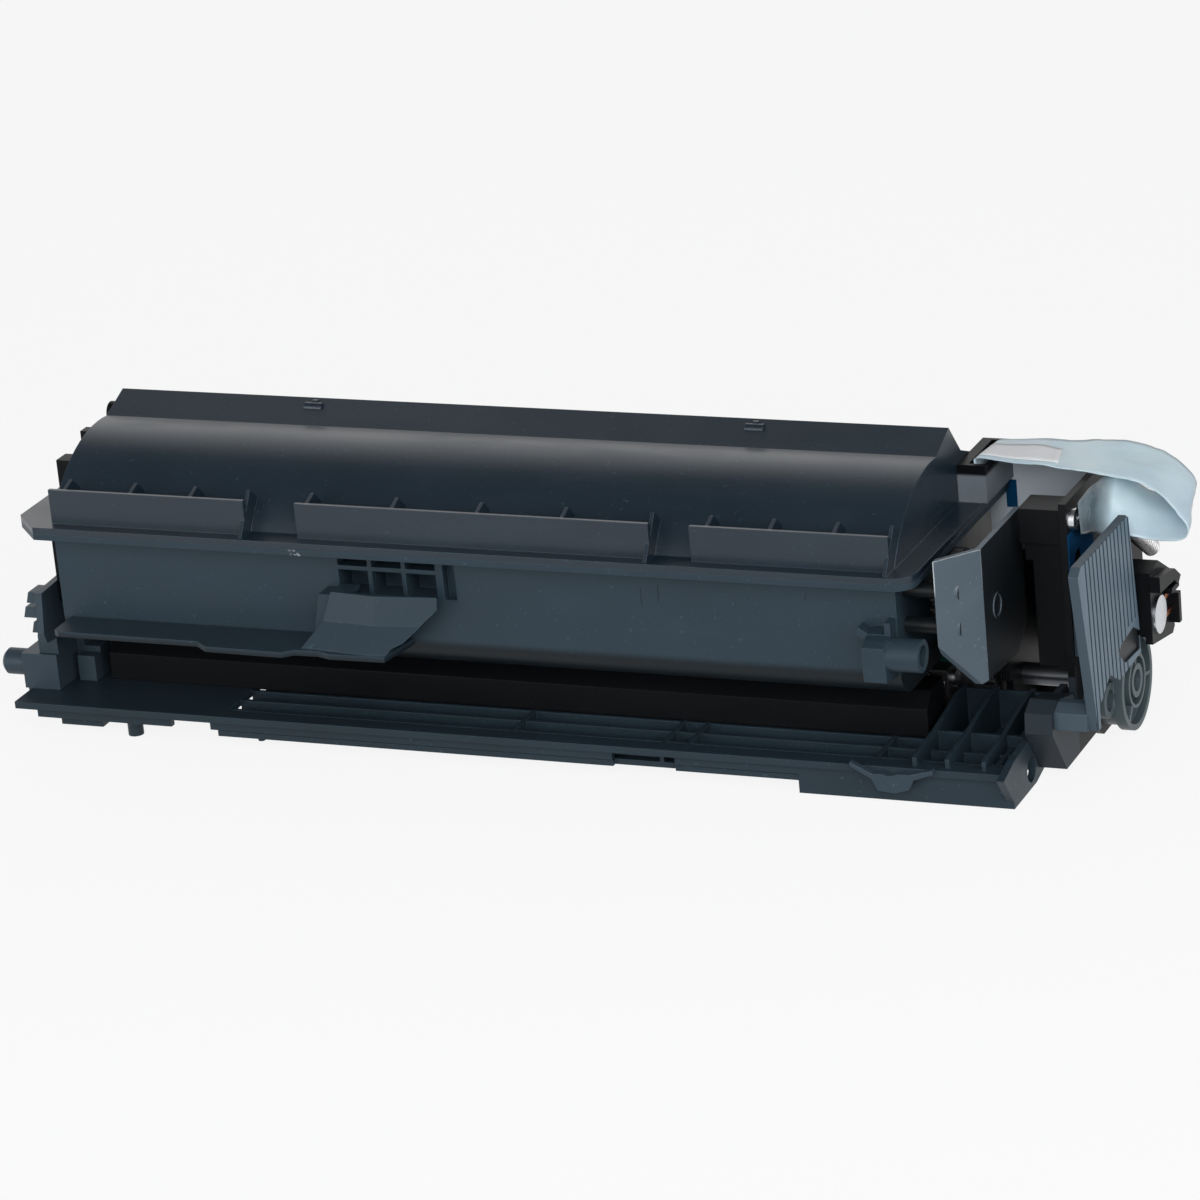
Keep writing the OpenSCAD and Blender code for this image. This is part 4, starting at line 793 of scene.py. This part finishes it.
class ShellOperator(bpy.types.Operator):
    """Gives every moulded, metal and rubber solid its finish"""

    bl_idname = "cartridge.finishes"
    bl_label = "Finishes"

    def execute(self, context):
        finishes = self.finishes(context.scene.cartridge_shell)
        for name, node in frame["nodes"].items():
            if name not in finishes:
                raise RuntimeError("no finish for " + name)
            node.data.materials.clear()
            node.data.materials.append(finishes[name])
        return {"FINISHED"}

    def finishes(self, p):
        """The material of each solid; the last four are shown by pieces of the scene."""
        r = p.edge_radius

        def plastic(name, color, **more):
            return moulded_plastic(name, color, p.grain, r, **more)

        shell = hopper_plastic("shell_plastic", p.shell, p.grain, r)
        lid_color = tuple(c * share for c, share in zip(p.shell, (0.5, 0.55, 0.62)))
        lid = plastic("lid_plastic", lid_color, dust=0.9, rough=0.31, edges=1.6, gloss=0.42)
        base = plastic("base_plastic", lighter(p.shell, 0.74), dust=0.7, marks=0.8)
        body = plastic("frame_plastic", p.frame, dust=0.4)
        black = plastic("black_plastic", p.black, dust=0.3, rough=0.4, edges=0.7, gloss=0.1)
        gear = acetal("gear_plastic", linear(30, 31, 34), r)
        steel = bright_metal("bright_steel", linear(190, 194, 198), 0.25, (0.05, 1, 1))
        # painted shade: a darker copy of the steel for the shaft and stud in the shaded recess
        dark_steel = bright_metal("oiled_steel", linear(92, 95, 100), 0.34, (0.05, 1, 1))
        zinc = bright_metal("plated_steel", linear(205, 208, 212), 0.22)
        shared = (
            (shell, ("toner_hopper", "front_guide", "developer_cover")),
            (lid, ("hopper_lid",)),
            (base, ("base_frame",)),
            (body, ("edge_clip", "left_end_frame")),
            (black, (
                "left_cover", "contact_bracket", "waste_bin", "developer_frame", "agitator", "magnet_core")),
            (gear, (
                "agitator_gear", "idler_gear", "drum_gear", "drum_end_flange", "developer_gear",
                "charge_bearings")),
            (dark_steel, ("idler_stud", "drum_shaft")),
            (steel, ("charge_shaft", "doctor_blade", "cleaning_blade", "shutter_pins")),
            (zinc, ("electrode_disk", "frame_screws")),
            (zinc, ("seal_film", "pressure_spring", "charge_springs", "shutter_spring")),
        )
        grip_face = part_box("grip_plate")[1].x
        finishes = {name: material for material, names in shared for name in names}
        finishes.update({
            "bearing_cap": plastic("cap_plastic", linear(78, 91, 95), dust=0.3, edges=1.4),
            "gear_cover": cover_plastic("cover_plastic", linear(85, 98, 108), p.grain, r),
            "film_guide": guide_plastic("guide_plastic", p.black, p.grain, r),
            "right_end_frame": end_plate_plastic("end_plate_plastic", linear(14, 16, 19), p.grain, r),
            "grip_plate": grip_plastic("grip_plastic", linear(98, 117, 132), p.grain, r, grip_face),
            "agitator_blade": paper_label("wiper_film", linear(214, 208, 186)),
            "developer_sleeve": bright_metal("blasted_sleeve", linear(84, 87, 90), 0.5),
            "drum": coated_tube("drum_coating", linear(38, 112, 104)),
            "charge_roller": fine_rubber("roller_rubber", linear(30, 31, 33)),
            "cleaning_edge": fine_rubber("edge_rubber", linear(168, 122, 66)),
            "drum_shutter": plastic("shutter_plastic", linear(64, 48, 36), dust=0.4),
            "contact_strips": bright_metal("copper_strip", linear(196, 122, 84), 0.3),
        })
        return finishes


# The pressure spring's two ends, its outer radius and its post's two radii, in millimetres
PRESSURE_SPRING = (Vector((148, 41.8, 43.2)), Vector((148, 23.9, 55.2)))
PRESSURE_SPRING_RADIUS = 2.5
POST_RADII = (1.75, 1.55)
SEAT_GAP = 0.4
# The small springs: the coil's radius and its wire's in millimetres, its turns and the points on each
CHARGE_COIL = (1.75, 0.22, 5, 16)
CHARGE_COIL_INSET = (2, 0.3)
SHUTTER_COIL = (2.85, 0.35, 6, 18)
SMALL_WIRE_SIDES = 6


class SpringOperator(bpy.types.Operator):
    """Winds the pressure spring, the charge roller's springs and the shutter's spring"""

    bl_idname = "cartridge.springs"
    bl_label = "Springs"

    def execute(self, context):
        p = context.scene.cartridge_spring
        steel = spring_wire("spring_wire", linear(214, 214, 214))
        self.pressure_spring(p, steel)
        self.charge_springs(steel)
        self.shutter_spring(steel)
        return {"FINISHED"}

    def pressure_spring(self, p, steel):
        """The coil spring at the right end, on its dark post."""
        low, high = PRESSURE_SPRING
        along = (high - low).normalized()
        low = low + along * SEAT_GAP
        high = high - along * SEAT_GAP
        wire = p.wire / MM
        bm = bmesh.new()
        points = coil_points(low, high, PRESSURE_SPRING_RADIUS - wire, p.turns)
        wire_along(bm, points, wire, p.wire_sides)
        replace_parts(new_piece("pressure_spring_coil", bm, steel), "pressure_spring")
        bm = bmesh.new()
        foot, top = POST_RADII
        bmesh.ops.create_cone(
            bm, cap_ends=True, segments=20, radius1=foot, radius2=top, depth=(high - low).length,
            matrix=turned_place((low + high) / 2, along))
        dark = fine_rubber("post_plastic", linear(16, 18, 21))
        new_piece("spring_post", bm, dark, smooth=False)

    def charge_springs(self, steel):
        """The two small springs behind the charge roller's bearings."""
        lo, hi = (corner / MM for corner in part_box("charge_springs"))
        z = (lo.z + hi.z) / 2
        side, end = CHARGE_COIL_INSET
        bm = bmesh.new()
        for x in (lo.x + side, hi.x - side):
            self.wind(bm, (x, lo.y + end, z), (x, hi.y - end, z), CHARGE_COIL)
        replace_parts(new_piece("charge_spring_coils", bm, steel), "charge_springs")

    def shutter_spring(self, steel):
        """The shutter's return spring, wound round its hinge."""
        lo, hi = (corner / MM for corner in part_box("shutter_spring"))
        y = (lo.y + hi.y) / 2
        z = (lo.z + hi.z) / 2
        bm = bmesh.new()
        self.wind(bm, (lo.x + SEAT_GAP, y, z), (hi.x - SEAT_GAP, y, z), SHUTTER_COIL)
        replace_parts(new_piece("shutter_spring_coil", bm, steel), "shutter_spring")

    def wind(self, bm, start, end, coil):
        """Winds a small spring between two points."""
        radius, wire, turns, per_turn = coil
        wire_along(bm, coil_points(start, end, radius, turns, per_turn), wire, SMALL_WIRE_SIDES)


# The camera's right, up and backward directions, and each lamp's name, size and place, in metres
CAMERA_AXES = (
    Vector((0.92038564, 0.38119791, -0.08705417)),
    Vector((-0.05798397, 0.35323688, 0.93373527)),
    Vector((0.38668868, -0.85434879, 0.34721752)),
)
LAMPS = (
    ("key", 0.9, (0.5, -1.15, 0.75)),
    ("fill", 0.5, (-0.5, -0.85, 0.2)),
    ("side", 0.7, (1.1, -0.5, 0.35)),
    ("back", 0.8, (-0.5, 0.9, 0.85)),
)
# The floor's half size, and how far it lies under the object, in metres
FLOOR_SIZE = 3.0
FLOOR_GAP = 0.0004


class StageOperator(bpy.types.Operator):
    """Sets up the camera, the pale floor and the lamps"""

    bl_idname = "cartridge.stage"
    bl_label = "Stage"

    def execute(self, context):
        p = context.scene.cartridge_stage
        scene = context.scene
        scene.view_settings.view_transform = "Standard"
        self.camera(scene, p)
        for name, size, place in LAMPS:
            self.lamp(scene, name, getattr(p, name + "_energy"), size, place)
        self.world(scene, p.sky)
        self.floor(scene)
        return {"FINISHED"}

    def camera(self, scene, p):
        """The camera at the photograph's viewing angle."""
        camera = bpy.data.objects.new("camera", bpy.data.cameras.new("camera"))
        scene.collection.objects.link(camera)
        camera.data.lens = p.focal_length
        camera.data.sensor_width = 36
        camera.data.clip_end = 20
        turn = Matrix(CAMERA_AXES).transposed().to_4x4()
        camera.matrix_world = Matrix.Translation(p.camera_place) @ turn
        scene.camera = camera

    def lamp(self, scene, name, energy, size, place):
        """A square lamp turned to the object."""
        data = bpy.data.lights.new(name, "AREA")
        data.energy = energy
        data.size = size
        lamp = bpy.data.objects.new(name, data)
        scene.collection.objects.link(lamp)
        lamp.location = place
        lamp.rotation_euler = (-Vector(place)).to_track_quat("-Z", "Y").to_euler()

    def world(self, scene, sky):
        """A soft sky for the light, and a pale background that darkens overhead for what is seen."""
        scene.world = bpy.data.worlds.new("studio")
        s = Shader(scene.world, "Generated")
        plain = s.tree.nodes["Background"]
        s.feed(plain.inputs["Color"], (0.93, 0.96, 1.0))
        s.feed(plain.inputs["Strength"], sky)
        light = Socket(s, plain.outputs[0])
        ceiling = s.ramp(s.axis("Z"), (0.52, 1.0), (0.78, 0.12))
        pale = s.node("ShaderNodeBackground", {}, {"Color": ceiling, "Strength": 1.0})
        both = s.node("ShaderNodeMixShader", {}, {0: s.any_seen_ray(), 1: light, 2: pale})
        s.feed(s.tree.nodes["World Output"].inputs["Surface"], both)

    def floor(self, scene):
        """A pale floor that keeps the object's shadow."""
        bm = bmesh.new()
        bmesh.ops.create_grid(bm, x_segments=1, y_segments=1, size=FLOOR_SIZE)
        bmesh.ops.translate(bm, vec=(0, 0, -FLOOR_GAP), verts=bm.verts)
        mesh = bpy.data.meshes.new("floor")
        bm.to_mesh(mesh)
        bm.free()
        floor = bpy.data.objects.new("floor", mesh)
        scene.collection.objects.link(floor)
        s = Shader.new("pale_floor")
        seen = s.any_seen_ray()
        s.set(color=s.mix(seen, (0.42, 0.43, 0.44), (0.86, 0.87, 0.88)), rough=0.9)
        glow = s.node("ShaderNodeEmission", {}, {"Color": (1, 1, 1), "Strength": 1.0})
        plain = Socket(s, s.principled.outputs[0])
        both = s.node("ShaderNodeMixShader", {}, {0: seen * 0.88, 1: plain, 2: glow})
        s.feed(s.tree.nodes["Material Output"].inputs["Surface"], both)
        mesh.materials.append(s.material)


# Each group of settings on the scene, with the operators that use it
GROUPS = (
    ("cartridge_stage", StageSettings, (StageOperator,)),
    ("cartridge_shell", ShellSettings, (ShellOperator,)),
    ("cartridge_film", FilmSettings, (FilmOperator, FoamOperator)),
    ("cartridge_spring", SpringSettings, (SpringOperator,)),
)


class CartridgePanel(bpy.types.Panel):
    """Lists the sizes and colours and the operators that use them"""

    bl_idname = "VIEW3D_PT_cartridge"
    bl_label = "Toner cartridge"
    bl_space_type = "VIEW_3D"
    bl_region_type = "UI"
    bl_category = "Cartridge"

    def draw(self, context):
        for prop, settings, operators in GROUPS:
            box = self.layout.box()
            for name in settings.__annotations__:
                box.prop(getattr(context.scene, prop), name)
            for operator in operators:
                box.operator(operator.bl_idname)


CLASSES = (
    FilmSettings, ShellSettings, SpringSettings, StageSettings,
    FilmOperator, FoamOperator, ShellOperator, SpringOperator, StageOperator, CartridgePanel,
)


def register():
    for cls in CLASSES:
        bpy.utils.register_class(cls)
    for prop, settings, operators in GROUPS:
        setattr(bpy.types.Scene, prop, PointerProperty(type=settings))


def unregister():
    for prop, settings, operators in reversed(GROUPS):
        delattr(bpy.types.Scene, prop)
    for cls in reversed(CLASSES):
        bpy.utils.unregister_class(cls)


def main():
    register()
    bpy.ops.cartridge.stage()
    bpy.ops.cartridge.finishes()
    bpy.ops.cartridge.seal_film()
    bpy.ops.cartridge.foam()
    bpy.ops.cartridge.springs()


if __name__ == "__main__":
    main()
